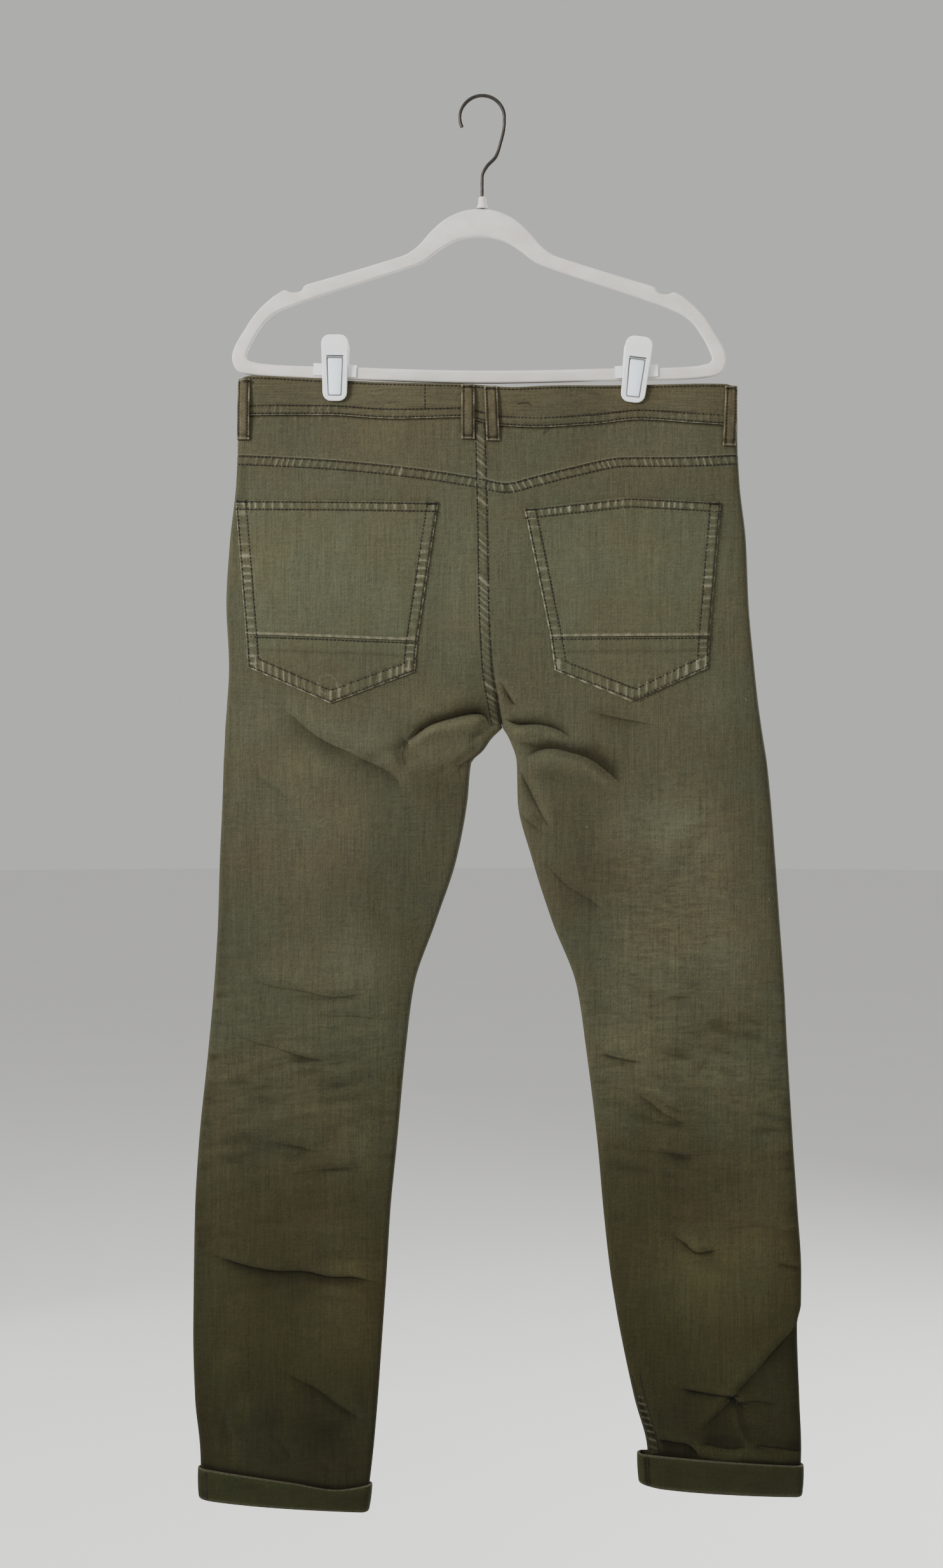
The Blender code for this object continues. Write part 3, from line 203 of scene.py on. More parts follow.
# the small creases: the two ends, half width and depth of each
creaseNames = "x0 drop0 x1 drop1 width depth"
creases = {
    "back": table(
        creaseNames,
        (-4, 586, -52, 613, 5, 1.4), (6, 568, -14, 580, 4, 1.8), (-60, 578, -118, 604, 7, 1.3),
        (-215, 600, -160, 640, 12, 1.0), (-150, 640, -95, 690, 13, 0.9), (-212, 700, -150, 742, 12, 0.9),
        (-110, 720, -70, 742, 8, 0.9), (-225, 766, -172, 774, 8, 0.9), (-228, 815, -192, 822, 4, 1.0),
        (-120, 846, -88, 851, 3.5, 1.0), (-232, 880, -190, 889, 5, 0.9), (-152, 888, -95, 881, 4.5, 1.1),
        (-228, 912, -170, 905, 5, 0.8), (-140, 915, -92, 922, 4, 1.0), (-180, 938, -146, 946, 4, 1.2),
        (-160, 964, -108, 959, 4, 1.1), (-238, 952, -196, 960, 5, 0.9), (-170, 990, -112, 996, 6, 0.7),
        (-150, 1076, -100, 1083, 6, 0.8), (-182, 1134, -106, 1192, 9, 1.4),
        (-240, 1166, -218, 1228, 7, 1.2), (-124, 1229, -102, 1233, 4, 1.5),
        (-152, 1220, -128, 1238, 5, 1.2), (-206, 1196, -176, 1228, 8, 1.0), (22, 574, 58, 586, 5, 1.6),
        (44, 604, 92, 622, 6, 1.5), (86, 606, 138, 640, 8, 1.2), (42, 640, 60, 658, 5, 1.4),
        (120, 640, 176, 668, 13, 0.9), (171, 697, 206, 656, 10, 1.1), (130, 742, 190, 760, 12, 0.8),
        (90, 760, 120, 778, 6, 1.0), (156, 811, 198, 806, 4, 1.3), (112, 826, 150, 834, 4, 1.0),
        (200, 832, 258, 826, 5, 0.9), (184, 882, 211, 859, 4, 1.3), (140, 890, 186, 914, 5, 1.8),
        (212, 896, 266, 888, 5, 1.0), (148, 945, 194, 953, 4, 1.4), (156, 965, 188, 966, 3.5, 1.2),
        (200, 976, 262, 968, 6, 0.8), (120, 984, 160, 992, 6, 0.8), (226, 1008, 282, 1015, 3.5, 1.2),
        (242, 1020, 284, 1020, 3.5, 1.1), (172, 1027, 196, 1028, 2.5, 1.0),
        (262, 1047, 286, 1050, 3, 1.6), (130, 1075, 190, 1082, 10, 0.8), (238, 1212, 284, 1217, 4, 1.6),
    ),
    "front": table(
        creaseNames,
        # whiskers from the crotch, and fine ones at knees and ankles
        (4, 536, -92, 508, 7, 1.6), (2, 518, -78, 482, 7, 1.3), (20, 536, 112, 506, 7, 1.6),
        (18, 518, 98, 484, 7, 1.3), (-30, 572, -128, 548, 8, 1.6), (42, 572, 142, 548, 8, 1.6),
        (-20, 628, -96, 622, 9, 1.2), (48, 628, 132, 618, 9, 1.2), (-210, 660, -130, 690, 14, 1.0),
        (120, 690, 226, 664, 14, 1.0), (-226, 786, -160, 792, 5, 1.1), (-160, 826, -96, 834, 4, 1.3),
        (-226, 842, -168, 836, 5, 1.2), (-150, 890, -90, 884, 5, 1.2), (-236, 904, -182, 912, 6, 1.0),
        (-200, 940, -128, 932, 6, 1.0), (104, 832, 160, 840, 4, 1.3), (186, 786, 250, 792, 5, 1.1),
        (190, 842, 258, 836, 5, 1.2), (116, 900, 176, 894, 5, 1.2), (200, 912, 264, 920, 6, 1.0),
        (150, 940, 226, 948, 6, 1.0), (-238, 1010, -170, 1018, 6, 1.0), (-180, 1090, -110, 1082, 7, 1.2),
        (-230, 1130, -150, 1146, 8, 1.4), (-200, 1186, -112, 1176, 8, 1.6),
        (-236, 1212, -180, 1222, 6, 1.2), (130, 1040, 220, 1052, 8, 1.4), (190, 1100, 270, 1088, 8, 1.2),
        (160, 1190, 250, 1182, 7, 1.6),
    ),
}  # fmt: skip


# the main folds: the line of each, its half width and depth, and the painted shade under it with its reach;
# lip -1 puts the bulge on the lower side, and lineShare is how dark the painted line itself is
foldNames = "line width depth shade reach lip lineShare"


def foldRows(*rows):
    return [dict(zip(foldNames.split(), row)) for row in rows]


folds = {
    "back": foldRows(
        (((7, 572), (6, 563), (2, 556), (-9, 554), (-26, 557), (-46, 563), (-62, 574), (-72, 582)),
         3.4, 5.0, 1.15, 7.5, -1),
        (((8, 576), (2, 585), (-11, 594), (-20, 600), (-23, 610)), 3.6, 3.2, 0.6, 16),
        (((-190, 540), (-146, 574), (-100, 598), (-75, 615), (-68, 640)), 6.5, 2.6, 0.42, 24, 1, 0.0),
        (((30, 598), (38, 612), (48, 636), (62, 662)), 4, 1.6, 0.4, 8),
        (((141, 1163), (148, 1183), (158, 1207)), 2, 1.2, 0.9, 3),
        (((-64, 572), (-72, 590), (-66, 606)), 5, 2.4, 0.3, 12),
        (((17, 557), (31, 562), (46, 563), (61, 566), (71, 570), (80, 576)), 3.0, 3.6, 0.85, 6, -1),
        (((34, 594), (47, 588), (62, 585), (78, 587), (96, 594), (112, 606), (130, 624)),
         4.2, 4.8, 1.1, 10, -1, 0.35),
        (((16, 526), (22, 536), (29, 546)), 2, 1, 0.5, 3),
        (((18, 543), (24, 542), (30, 546)), 2, 1, 0.4, 3),
        (((92, 552), (124, 558), (162, 566)), 8, 2, 0.3, 13),
        (((30, 640), (42, 652), (62, 668)), 5, 1.6, 0.2, 10),
        (((52, 686), (80, 710), (112, 734)), 9, 2.2, 0.25, 16),
        (((166, 700), (190, 668), (210, 652)), 9, 1.2, 0.12, 12),
        (((-212, 792), (-189, 798), (-134, 806), (-98, 802)), 4, 1.8, 0.28, 9),
        (((-150, 822), (-131, 824), (-90, 828)), 4, 1.4, 0.2, 7),
        (((-226, 838), (-204, 847), (-176, 855), (-134, 868)), 4.4, 1.9, 0.28, 10),
        (((-196, 934), (-178, 938), (-136, 948)), 4, 1.6, 0.22, 8),
        (((-172, 968), (-150, 963), (-98, 956)), 4, 1.6, 0.22, 8),
        (((-250, 1036), (-222, 1045), (-188, 1052), (-134, 1057), (-84, 1067)), 3.2, 2.8, 0.75, 9),
        (((-186, 1140), (-174, 1145), (-142, 1163), (-104, 1192)), 8, 2.2, 0.32, 20),
        (((-192, 1198), (-180, 1210), (-170, 1224)), 6, 1.6, 0.25, 9),
        (((104, 858), (122, 863), (146, 867)), 4, 2.2, 0.4, 7),
        (((134, 892), (146, 899), (168, 914), (186, 920)), 4, 1.8, 0.25, 9),
        (((124, 944), (146, 946), (184, 950), (214, 946)), 4, 1.5, 0.2, 8),
        (((168, 1020), (180, 1027), (192, 1036), (212, 1032)), 3.6, 2.6, 0.5, 7),
        (((206, 1016), (240, 1013), (288, 1018)), 4, 1.2, 0.2, 6),
        (((262, 1046), (274, 1050), (290, 1051)), 3, 1.6, 0.35, 5),
        (((174, 1156), (188, 1159), (208, 1162), (223, 1164), (229, 1169), (238, 1179)),
         2.4, 2.2, 0.9, 4),
        (((290, 1090), (252, 1134), (226, 1163), (204, 1186), (186, 1203)), 3.0, 2.4, 0.85, 22, 1, 0.4),
        (((190, 1208), (205, 1210), (222, 1211), (240, 1209)), 3.0, 2.0, 0.95, 12, -1, 0.5),
        (((240, 1208), (262, 1211), (292, 1216)), 3.0, 2.0, 0.85, 7, -1),
        (((226, 1166), (228, 1188), (235, 1203), (246, 1211)), 2.6, -1.4, -0.5, 3, 1, 0.0),
        (((156, 1204), (170, 1206), (181, 1208), (187, 1213), (194, 1222)), 3.0, 2.4, 1.0, 9),
        (((230, 1169), (246, 1170), (264, 1173)), 2, 1, 0.5, 3),
    ),
    "front": foldRows(
        (((10, 556), (-18, 551), (-54, 548)), 5, 4.5, 0.5, 14),
        (((22, 556), (52, 549), (88, 545)), 5, 4.5, 0.5, 14),
        (((-6, 602), (-40, 590), (-90, 580)), 8, 3, 0.35, 16),
        (((32, 600), (70, 586), (118, 576)), 8, 3, 0.35, 16),
        (((-206, 814), (-150, 804), (-88, 802)), 6, 2.2, 0.3, 10),
        (((-218, 858), (-160, 872), (-98, 874)), 6, 2, 0.3, 10),
        (((106, 804), (160, 814), (232, 816)), 6, 2.2, 0.3, 10),
        (((116, 874), (180, 864), (242, 864)), 6, 2, 0.3, 10),
        (((-240, 1044), (-170, 1056), (-96, 1062)), 5, 2.6, 0.4, 12),
        (((134, 1148), (200, 1160), (266, 1162)), 6, 2.6, 0.4, 12),
    ),
}  # fmt: skip

# patches that are lighter or darker than the rest, in doublings of brightness
tones = table(
    "x drop width height tone",
    (189, 1052, 42, 44, 0.68), (150, 860, 46, 50, 0.30), (206, 690, 50, 90, 0.30),
    (-91, 690, 42, 80, -0.28), (-165, 640, 44, 70, 0.10), (-227, 1133, 12, 14, 0.3),
    (-173, 1153, 14, 16, 0.25), (-212, 1174, 12, 12, 0.3), (-222, 1217, 10, 10, 0.35),
    (-192, 1185, 11, 11, -0.35), (-136, 1201, 13, 11, -0.4), (200, 1118, 60, 50, 0.25),
    (-20, 440, 18, 110, 0.12), (160, 430, 90, 80, 0.14), (-135, 515, 70, 22, -0.22),
    (-190, 560, 60, 20, 0.1), (-48, 550, 30, 26, 0.3), (-50, 592, 26, 16, 0.35),
    (-150, 600, 30, 14, 0.28), (172, 655, 34, 30, 0.35), (122, 655, 26, 26, 0.2),
    (146, 770, 34, 40, 0.3), (215, 770, 50, 40, 0.28), (225, 883, 50, 36, 0.25),
    (-112, 770, 24, 40, 0.35), (-125, 655, 34, 36, 0.25), (-113, 940, 24, 26, 0.45),
    (-112, 1055, 22, 20, 0.4), (200, 541, 44, 30, 0.2), (-218, 740, 40, 150, -0.26),
    (-118, 1090, 34, 80, 0.42), (-225, 1060, 30, 50, 0.2), (82, 700, 32, 90, -0.42),
    (262, 1010, 38, 130, 0.5), (225, 1040, 40, 60, 0.3), (240, 1215, 60, 9, 0.4),
    (-160, 1112, 50, 30, 0.25), (225, 1140, 44, 20, 0.25), (-150, 1195, 20, 18, -0.2),
    (150, 318, 90, 16, 0.12), (240, 640, 24, 60, -0.15), (-150, 780, 70, 16, 0.18),
    (-150, 905, 60, 14, 0.15), (-160, 1010, 70, 24, 0.12), (-30, 620, 22, 26, -0.3),
    (70, 610, 26, 12, -0.25), (-110, 575, 30, 14, 0.2), (70, 576, 26, 7, 0.15),
)  # fmt: skip


def toneAt(x, drop):
    total = 0.0
    for px, pd, width, height, tone in zip(*(tones[name] for name in tones)):
        total = total + tone * np.exp(-(((x - px) / width) ** 2) - ((drop - pd) / height) ** 2)
    return total


def outseam(side, drop):
    return np.where(drop < body["crotch"], reading(seat, side, drop), reading(legs[side], "outer", drop))


def innerSeam(side, drop):
    return np.where(drop < body["crotch"], reading(seat, "centre", drop), reading(legs[side], "inner", drop))


def sectionDepth(x, low, high, depth, inset):
    low, high = low + inset, high - inset
    u = np.abs((2 * x - low - high) / (high - low))
    bulge = np.maximum(0.0, 1 - np.minimum(1.0, u) ** 2.2) ** 0.9
    radius = body["edgeRound"] - inset
    s = np.clip(np.minimum(x - low, high - x), 0.0, radius)
    return np.sqrt(radius**2 - (radius - s) ** 2) + (depth - body["edgeRound"]) * bulge


def pinched(x, drop):
    low = 1 - softStep((drop - grip["foot"]) / grip["footFade"])
    near = np.minimum(*(np.abs(x - clip["x"]) for clip in clips.values()))
    return low * (1 - softStep((near - grip["halfWidth"]) / grip["fade"]))


def besideFold(line, x, drop):
    # how far above the line a place is, and how far along it
    lengths = [math.dist(a, b) for a, b in zip(line, line[1:])]
    nearest, above, share, walked = np.full(x.shape, 1e9), np.zeros(x.shape), np.zeros(x.shape), 0.0
    for (x0, drop0), (x1, drop1), length in zip(line, line[1:], lengths):
        ax, ay = (x1 - x0) / length, (drop1 - drop0) / length
        ox, oy = x - x0, drop - drop0
        t = np.clip(ox * ax + oy * ay, 0, length)
        distance = np.hypot(ox - t * ax, oy - t * ay)
        side = np.sign(ay * ox - ax * oy + 1e-9) * (1 if line[-1][0] > line[0][0] else -1)
        closer = distance < nearest
        above = np.where(closer, side * distance, above)
        share = np.where(closer, (walked + t) / sum(lengths), share)
        nearest, walked = np.minimum(nearest, distance), walked + length
    return above, share


def smoothPath(points, steps=4):
    path, count = [], len(points)
    for i in range(count - 1):
        near = (max(i - 1, 0), i, i + 1, min(i + 2, count - 1))
        p0, p1, p2, p3 = (np.array(points[k], float) for k in near)
        for t in np.arange(steps) / steps:
            path.append(0.5 * (2 * p1 + (p2 - p0) * t + (2 * p0 - 5 * p1 + 4 * p2 - p3) * t**2
                               + (3 * p1 - p0 - 3 * p2 + p3) * t**3))
    return [(float(px), float(pd)) for px, pd in [*path, points[-1]]]


def foldForm(face, x, drop):
    # the relief of all creases and the marks beside them, which are painted shade and highlight; painted
    # shade lies on one side of the nearest line, a painted highlight on its lip and a painted dark line along
    # it, and crease is how far off that line is
    x, drop = np.broadcast_arrays(np.asarray(x, float), np.asarray(drop, float))
    shape, x, drop = x.shape, x.ravel(), drop.ravel()
    wanderX = x + 1.8 * cloudNoise(x, drop, 30, 20, 5)
    wanderDrop = drop + 1.8 * cloudNoise(x, drop, 24, 28, 6)
    uneven = 1 + 0.35 * cloudNoise(x, drop, 24, 24, 7)
    relief, marks = np.zeros(x.shape), {key: np.zeros(x.shape) for key in ("fold", "dark", "light", "line")}
    marks["crease"] = np.full(x.shape, 20.0)
    rows = creases[face]
    for x0, drop0, x1, drop1, width, depth in zip(*(rows[name] for name in creaseNames.split())):
        above, share = besideFold(((x0, drop0), (x1, drop1)), wanderX, wanderDrop)
        ends = softStep(share / 0.45) * softStep((1 - share) / 0.45)
        bulge = 0.5 * hump(above - 1.5 * width, 1.1 * width)
        relief += uneven * depth * ends * (hump(above, 0.8 * width) - bulge)
        # the small creases are painted darker along their line and a little lighter beside it, as their shade
        marks["fold"] += depth * ends * (0.20 * hump(above, 2.0) - 0.09 * hump(above - 4.0, 3.0))
    for fold in folds[face]:
        path, far = smoothPath(fold["line"]), 3 * fold["reach"] + 14
        xs, ds = zip(*path)
        spot = (np.abs(wanderX - (min(xs) + max(xs)) / 2) < (max(xs) - min(xs)) / 2 + far) & (
            np.abs(wanderDrop - (min(ds) + max(ds)) / 2) < (max(ds) - min(ds)) / 2 + far
        )
        above, share = besideFold(path, wanderX[spot], wanderDrop[spot])
        lip = above * fold.get("lip", 1)
        width = fold["width"] * (1.25 - 0.5 * np.abs(2 * share - 1))
        ends = softStep(share / 0.24) * softStep((1 - share) / 0.24)
        dip = np.where(lip < 0, np.exp(lip / (0.25 * fold["reach"] + 1.5)), hump(lip, width))
        bulge = 0.45 * hump(lip - 1.9 * width, 1.7 * width)
        relief[spot] += uneven[spot] * fold["depth"] * ends * (dip - bulge)
        amount = fold["shade"] * ends * uneven[spot]
        dark = amount * np.exp(-np.abs(lip) / fold["reach"])
        light = 0.5 * amount * hump(np.abs(lip) - 1.2 * width, 2.0 * width)
        near = 1 - softStep((np.abs(lip) - 2.0) / 4.0)
        marks["fold"][spot] += np.where(lip < 0, dark, -light) * (1 - near)
        marks["dark"][spot] += dark * near
        marks["light"][spot] += light * near
        marks["line"][spot] += fold.get("lineShare", 0.9) * np.clip(1.3 * amount, 0, 1) * near
        past = marks["crease"][spot]
        marks["crease"][spot] = np.where(np.abs(lip) < np.abs(past), lip, past)
    # deeper relief is painted darker still, as painted shade
    marks["fold"] += relief / 14.0
    return relief.reshape(shape), {key: value.reshape(shape) for key, value in marks.items()}


def creaseDepth(face, x, drop):
    return foldForm(face, x, drop)[0]


def foldShade(face, x, drop):
    marks = foldForm(face, x, drop)[1]
    side = np.where(marks["crease"] < 0, marks["dark"], -marks["light"])
    return marks["fold"] + side + 0.6 * marks["line"] * hump(marks["crease"], 1.2)


def kneeRipples(face, x, drop):
    # fine wrinkles across the back of the knees and above the hems
    where = hump(drop - 880, 95) + 0.45 * hump(drop - 1030, 60) + 0.35 * hump(drop - 1200, 40)
    seed = 23 if face == "back" else 27
    slope = drop - 0.10 * x * np.sign(x - 10) + 3 * cloudNoise(x, drop, 40, 40, seed)
    coarse, fine = cloudNoise(x, slope, 34, 6.5, seed + 1), cloudNoise(x, slope, 17, 3.4, seed + 2)
    return where * (0.6 * coarse + 0.4 * fine)


def cockle(face, x, drop):
    # broad soft unevenness, upright like cloth under its own weight
    seed = 11 if face == "back" else 15
    broad = cloudNoise(x, drop, 46, 120, seed) + 0.5 * cloudNoise(x, drop, 21, 52, seed + 1)
    return 0.8 * broad + 0.25 * cloudNoise(x, drop, 13, 9, seed + 2) + 1.4 * kneeRipples(face, x, drop)


def seatDepth(face, x, drop, inset):
    free = sectionDepth(x, outseam("left", drop), outseam("right", drop), reading(seat, face, drop), inset)
    held = pinched(x, drop)
    return free * (1 - held) + (grip["depth"] - inset) * held


def sidewaysEnds(side, drop):
    outer, inner = outseam(side, drop), innerSeam(side, drop)
    return (outer, inner) if side == "left" else (inner, outer)


def parting(drop):
    return softStep((drop - body["seatBlend"]) / (body["crotch"] - body["seatBlend"]))


def lapShare(x):
    return softStep((x - body["lapStart"]) / (body["lapFull"] - body["lapStart"]))


def wayAlong(x, drop):
    return np.concatenate([[0], np.cumsum(np.hypot(np.diff(x), np.diff(drop)))])


def clothDepth(side, face, x, drop, inset):
    low, high = sidewaysEnds(side, drop)
    parted = parting(drop)
    leg = sectionDepth(x, low, high, reading(legs[side], face, drop), inset)
    depth = seatDepth(face, x, drop, inset) * (1 - parted) + leg * parted
    edgeFade = softStep((np.minimum(np.abs(x - low), np.abs(x - high)) - 3.0) / 16.0)
    seamFade = softStep((np.abs(x - outseam(side, drop)) - 3.0) / 16.0)
    quiet = softStep((drop - 352) / 60) * seamFade * (edgeFade * parted + (1 - parted))
    return depth - creaseDepth(face, x, drop) * edgeFade + cockle(face, x, drop) * quiet


def bodyDepth(face, x, drop, inset):
    left, right = clothDepth("left", face, x, drop, inset), clothDepth("right", face, x, drop, inset)
    return np.maximum(np.where(x < reading(seat, "centre", drop), left, right), 0.15)


def at(face, x, depth, drop):
    x, depth, drop = np.broadcast_arrays(x, depth, drop)
    return np.stack([x, depth if face == "front" else -depth, -drop], axis=-1)


class Wire:
    # a socket that takes part in sums
    def __init__(self, look, socket):
        self.look, self.socket = look, socket

    def sum(self, operation, *others):
        sockets = dict(enumerate((self, *others)))
        return self.look.add("ShaderNodeMath", {"operation": operation}, sockets)

    def __add__(self, other):
        return self.sum("ADD", other)

    __radd__ = __add__

    def __mul__(self, other):
        return self.sum("MULTIPLY", other)

    __rmul__ = __mul__

    def __sub__(self, other):
        return self.sum("SUBTRACT", other)

    def __rsub__(self, other):
        return self.look.add("ShaderNodeMath", {"operation": "SUBTRACT"}, {0: other, 1: self})

    def __truediv__(self, other):
        return self.sum("DIVIDE", other)

    def __rpow__(self, other):
        return self.look.add("ShaderNodeMath", {"operation": "POWER"}, {0: other, 1: self})


class Look:
    # a material in the making
    def __init__(self, name, **constants):
        self.material = bpy.data.materials.new(name)
        self.material.use_nodes = True
        self.tree = self.material.node_tree
        self.shader = self.tree.nodes["Principled BSDF"]
        for socket, value in constants.items():
            self.shader.inputs[socket.replace("_", " ")].default_value = value

    def add(self, kind, settings=None, sockets=None, out=0):
        node = self.tree.nodes.new(kind)
        for key, value in (settings or {}).items():
            if key == "stops":
                ramp = node.color_ramp
                while len(ramp.elements) < len(value):
                    ramp.elements.new(0.5)
                for element, (place, colour) in zip(ramp.elements, value):
                    element.position, element.color = place, (*colour, 1.0)
            else:
                setattr(node, key, value)
        for key, value in (sockets or {}).items():
            if isinstance(value, Wire):
                self.tree.links.new(value.socket, node.inputs[key])
            else:
                node.inputs[key].default_value = value
        return Wire(self, node.outputs[out])

    def feed(self, **wires):
        for socket, wire in wires.items():
            self.tree.links.new(wire.socket, self.shader.inputs[socket.replace("_", " ")])
        return self.material

    def coordinates(self):
        return self.add("ShaderNodeTexCoord", out="Object")

    def noise(self, place, sizes, offset=0.0, detail=2.0, roughness=0.5):
        # sizes are those of the blotches, in millimetres
        scale = tuple(1000 / size for size in sizes)
        moved = self.add(
            "ShaderNodeVectorMath",
            {"operation": "MULTIPLY_ADD"},
            {0: place, 1: scale, 2: (offset, offset * 0.7, offset * 1.3)},
        )
        sockets = {"Vector": moved, "Scale": 1.0, "Detail": detail, "Roughness": roughness}
        return self.add("ShaderNodeTexNoise", {"noise_dimensions": "3D"}, sockets)

    def ramp(self, value, low, high):
        return self.add(
            "ShaderNodeMapRange",
            {"interpolation_type": "SMOOTHSTEP"},
            {"Value": value, "From Min": low, "From Max": high},
        )

    def mix(self, amount, a, b, way="MIX"):
        a, b = ((*c, 1.0) if isinstance(c, tuple) else c for c in (a, b))
        return self.add(
            "ShaderNodeMix",
            {"data_type": "RGBA", "blend_type": way, "clamp_result": False},
            {0: amount, 6: a, 7: b},
            out=2,
        )

    def mark(self, name):
        return self.add("ShaderNodeAttribute", {"attribute_name": name}, out="Fac")

    def bump(self, height, strength, distance):
        return self.add(
            "ShaderNodeBump", sockets={"Height": height, "Strength": strength, "Distance": distance}
        )


denimLook = {
    "top": 250.0,  # the drops between which the shades below lie
    "foot": 1270.0,
    # the shades grow darker towards the hem, partly the dye and partly painted fall-off of light
    "shades": (
        (0.0, (0.058, 0.0505, 0.0290)),
        (0.07, (0.051, 0.0490, 0.0290)),
        (0.17, (0.055, 0.0550, 0.0330)),
        (0.27, (0.052, 0.0505, 0.0300)),
        (0.43, (0.049, 0.0460, 0.0270)),
        (0.57, (0.044, 0.0430, 0.0248)),
        (0.72, (0.0262, 0.0240, 0.0112)),
        (0.84, (0.0192, 0.0177, 0.0070)),
        (1.0, (0.0124, 0.0118, 0.0046)),
    ),
    "green": (0.965, 1.012, 1.02),
    "brown": (1.03, 0.99, 0.94),
    # colour multipliers for painted shade in folds, painted highlight on their lips and ridges, and the
    # painted dark fold line
    "trough": (0.40, 0.37, 0.31),
    "line": (0.14, 0.12, 0.09),
    "ridge": (1.25, 1.27, 1.24),
    "worn": (0.250, 0.235, 0.165),
}


def denim(name, shades, slubs=1.0, crosswise=False):
    look = Look(name, Roughness=0.88, Sheen_Weight=0.03, Sheen_Roughness=0.5, Specular_IOR_Level=0.10)
    place = look.coordinates()
    height = look.add("ShaderNodeSeparateXYZ", sockets={0: place}, out="Z")
    drift = look.noise(place, (90, 90, 70), 3.1) - 0.5
    down = (height * -1000 - denimLook["top"] + drift * 90) / (denimLook["foot"] - denimLook["top"])
    base = look.add("ShaderNodeValToRGB", {"stops": shades}, {0: down})
    patches = look.ramp(look.noise(place, (70, 70, 52), 7.7, 3.0, 0.6), 0.36, 0.64)
    small = look.ramp(look.noise(place, (19, 19, 16), 1.9, 3.0, 0.6), 0.3, 0.7)
    tint = look.mix(patches * 0.8 + small * 0.2, denimLook["green"], denimLook["brown"])
    colour = look.mix(1.0, base, tint, "MULTIPLY")
    # warp slubs run down, weft flecks across, and short flecks slant with the twill
    down1, down2, across1 = (0.75, 3.0, 30), (2.2, 6.0, 110), (20, 6.0, 0.75)
    if crosswise:
        down1, down2, across1 = (30, 3.0, 0.75), (110, 6.0, 2.2), (0.75, 6.0, 20)
    warp = look.noise(place, down1, 4.4, 2.0, 0.6) - 0.5
    longWarp = look.noise(place, down2, 9.4, 2.0, 0.6) - 0.5
    weft = look.noise(place, across1, 5.3, 2.0, 0.6) - 0.5
    grain = look.noise(place, (1.1, 1.1, 1.1), 2.2, 3.0, 0.7) - 0.5
    turned = look.add(
        "ShaderNodeMapping", {"vector_type": "POINT"}, {"Vector": place, "Rotation": (0, math.radians(34), 0)}
    )
    twill = look.noise(turned, (5.0, 2.0, 0.8), 6.1, 1.0, 0.5) - 0.5
    ripple = look.mark("ripple")
    # fine ripples at the knees and right thigh are bumped and also painted lighter and darker, as their shade
    shortRipple = (look.noise(place, (15, 8.0, 2.9), 8.8, 2.0, 0.55) - 0.5) * ripple
    speck = look.noise(place, (2.2, 2.2, 2.6), 7.1, 2.0, 0.6) - 0.5
    fade = 1 + slubs * (warp * 0.85 + longWarp * 0.30)
    fade = fade + weft * 0.45 + grain * 0.9 + twill * 0.4 + speck * 0.45
    fade = fade + shortRipple * 0.9
    colour = look.mix(1.0, colour, look.add("ShaderNodeCombineColor", sockets={0: fade, 1: fade, 2: fade}),
                      "MULTIPLY")
    # painted shade beside and in the folds, painted highlight on their lips and ridges, and a painted dark
    # line along the main folds
    crease, wear = look.mark("crease"), look.mark("wear")
    lip = look.ramp(crease, -0.5, 0.5)
    fold = look.mark("fold") + look.mark("dark") * (1 - lip) - look.mark("light") * lip
    line = 2.718 ** (crease * crease * -1.3) * look.mark("line")
    trough = look.ramp(fold, 0.0, 1.0)
    ridge = look.ramp(fold * -1, 0.0, 1.0)
    colour = look.mix(trough, colour, look.mix(1.0, colour, denimLook["trough"], "MULTIPLY"))
    colour = look.mix(ridge, colour, look.mix(1.0, colour, denimLook["ridge"], "MULTIPLY"))
    colour = look.mix(line, colour, look.mix(1.0, colour, denimLook["line"], "MULTIPLY"))
    rub = look.ramp(wear * (1 + grain * 1.6 + warp * 0.8), 0.05, 1.0)
    # the pale wear colour darkens towards the hem like the shades, partly painted fall-off of light
    worn = look.mix(look.ramp(down, 0.45, 1.0), denimLook["worn"],
                    tuple(0.42 * c for c in denimLook["worn"]))
    colour = look.mix(rub * 0.75, colour, worn)
    lift = 2.0 ** look.mark("tone")
    colour = look.mix(1.0, colour, look.add("ShaderNodeCombineColor", sockets={0: lift, 1: lift, 2: lift}),
                      "MULTIPLY")
    relief = warp * 0.30 + weft * 0.22 + grain * 0.45 + twill * 0.5 + shortRipple * 1.6
    return look.feed(Base_Color=colour, Normal=look.bump(relief, 0.55, 0.0007))


def plainShades(*colours):
    return tuple((i / (len(colours) - 1), colour) for i, colour in enumerate(colours))


denimCloth = denim("oliveDenim", denimLook["shades"])
bandDenim = denim("waistbandDenim", denimLook["shades"], 1.2, True)
loopShades = tuple((p, (c[0] * 1.06, c[1] * 0.97, c[2] * 0.95)) for p, c in denimLook["shades"])
loopDenim = denim("fadedLoopDenim", loopShades)
reverseShades = plainShades((0.0172, 0.0176, 0.0072), (0.0162, 0.0166, 0.0066), (0.0158, 0.0162, 0.0062))
reverseDenim = denim("denimReverse", reverseShades, 0.5)


def sewingThread(name, dark, light):
    look = Look(name, Roughness=0.7, Specular_IOR_Level=0.3)
    place = look.coordinates()
    colour = look.mix(look.noise(place, (4, 4, 4), 1.0), dark, light)
    return look.feed(Base_Color=colour, Normal=look.bump(look.noise(place, (0.5, 0.5, 0.5)), 0.4, 0.0002))


darkThread = sewingThread("darkThread", (0.005, 0.004, 0.002), (0.013, 0.010, 0.006))
paleThread = sewingThread("paleLint", (0.12, 0.11, 0.085), (0.17, 0.16, 0.13))


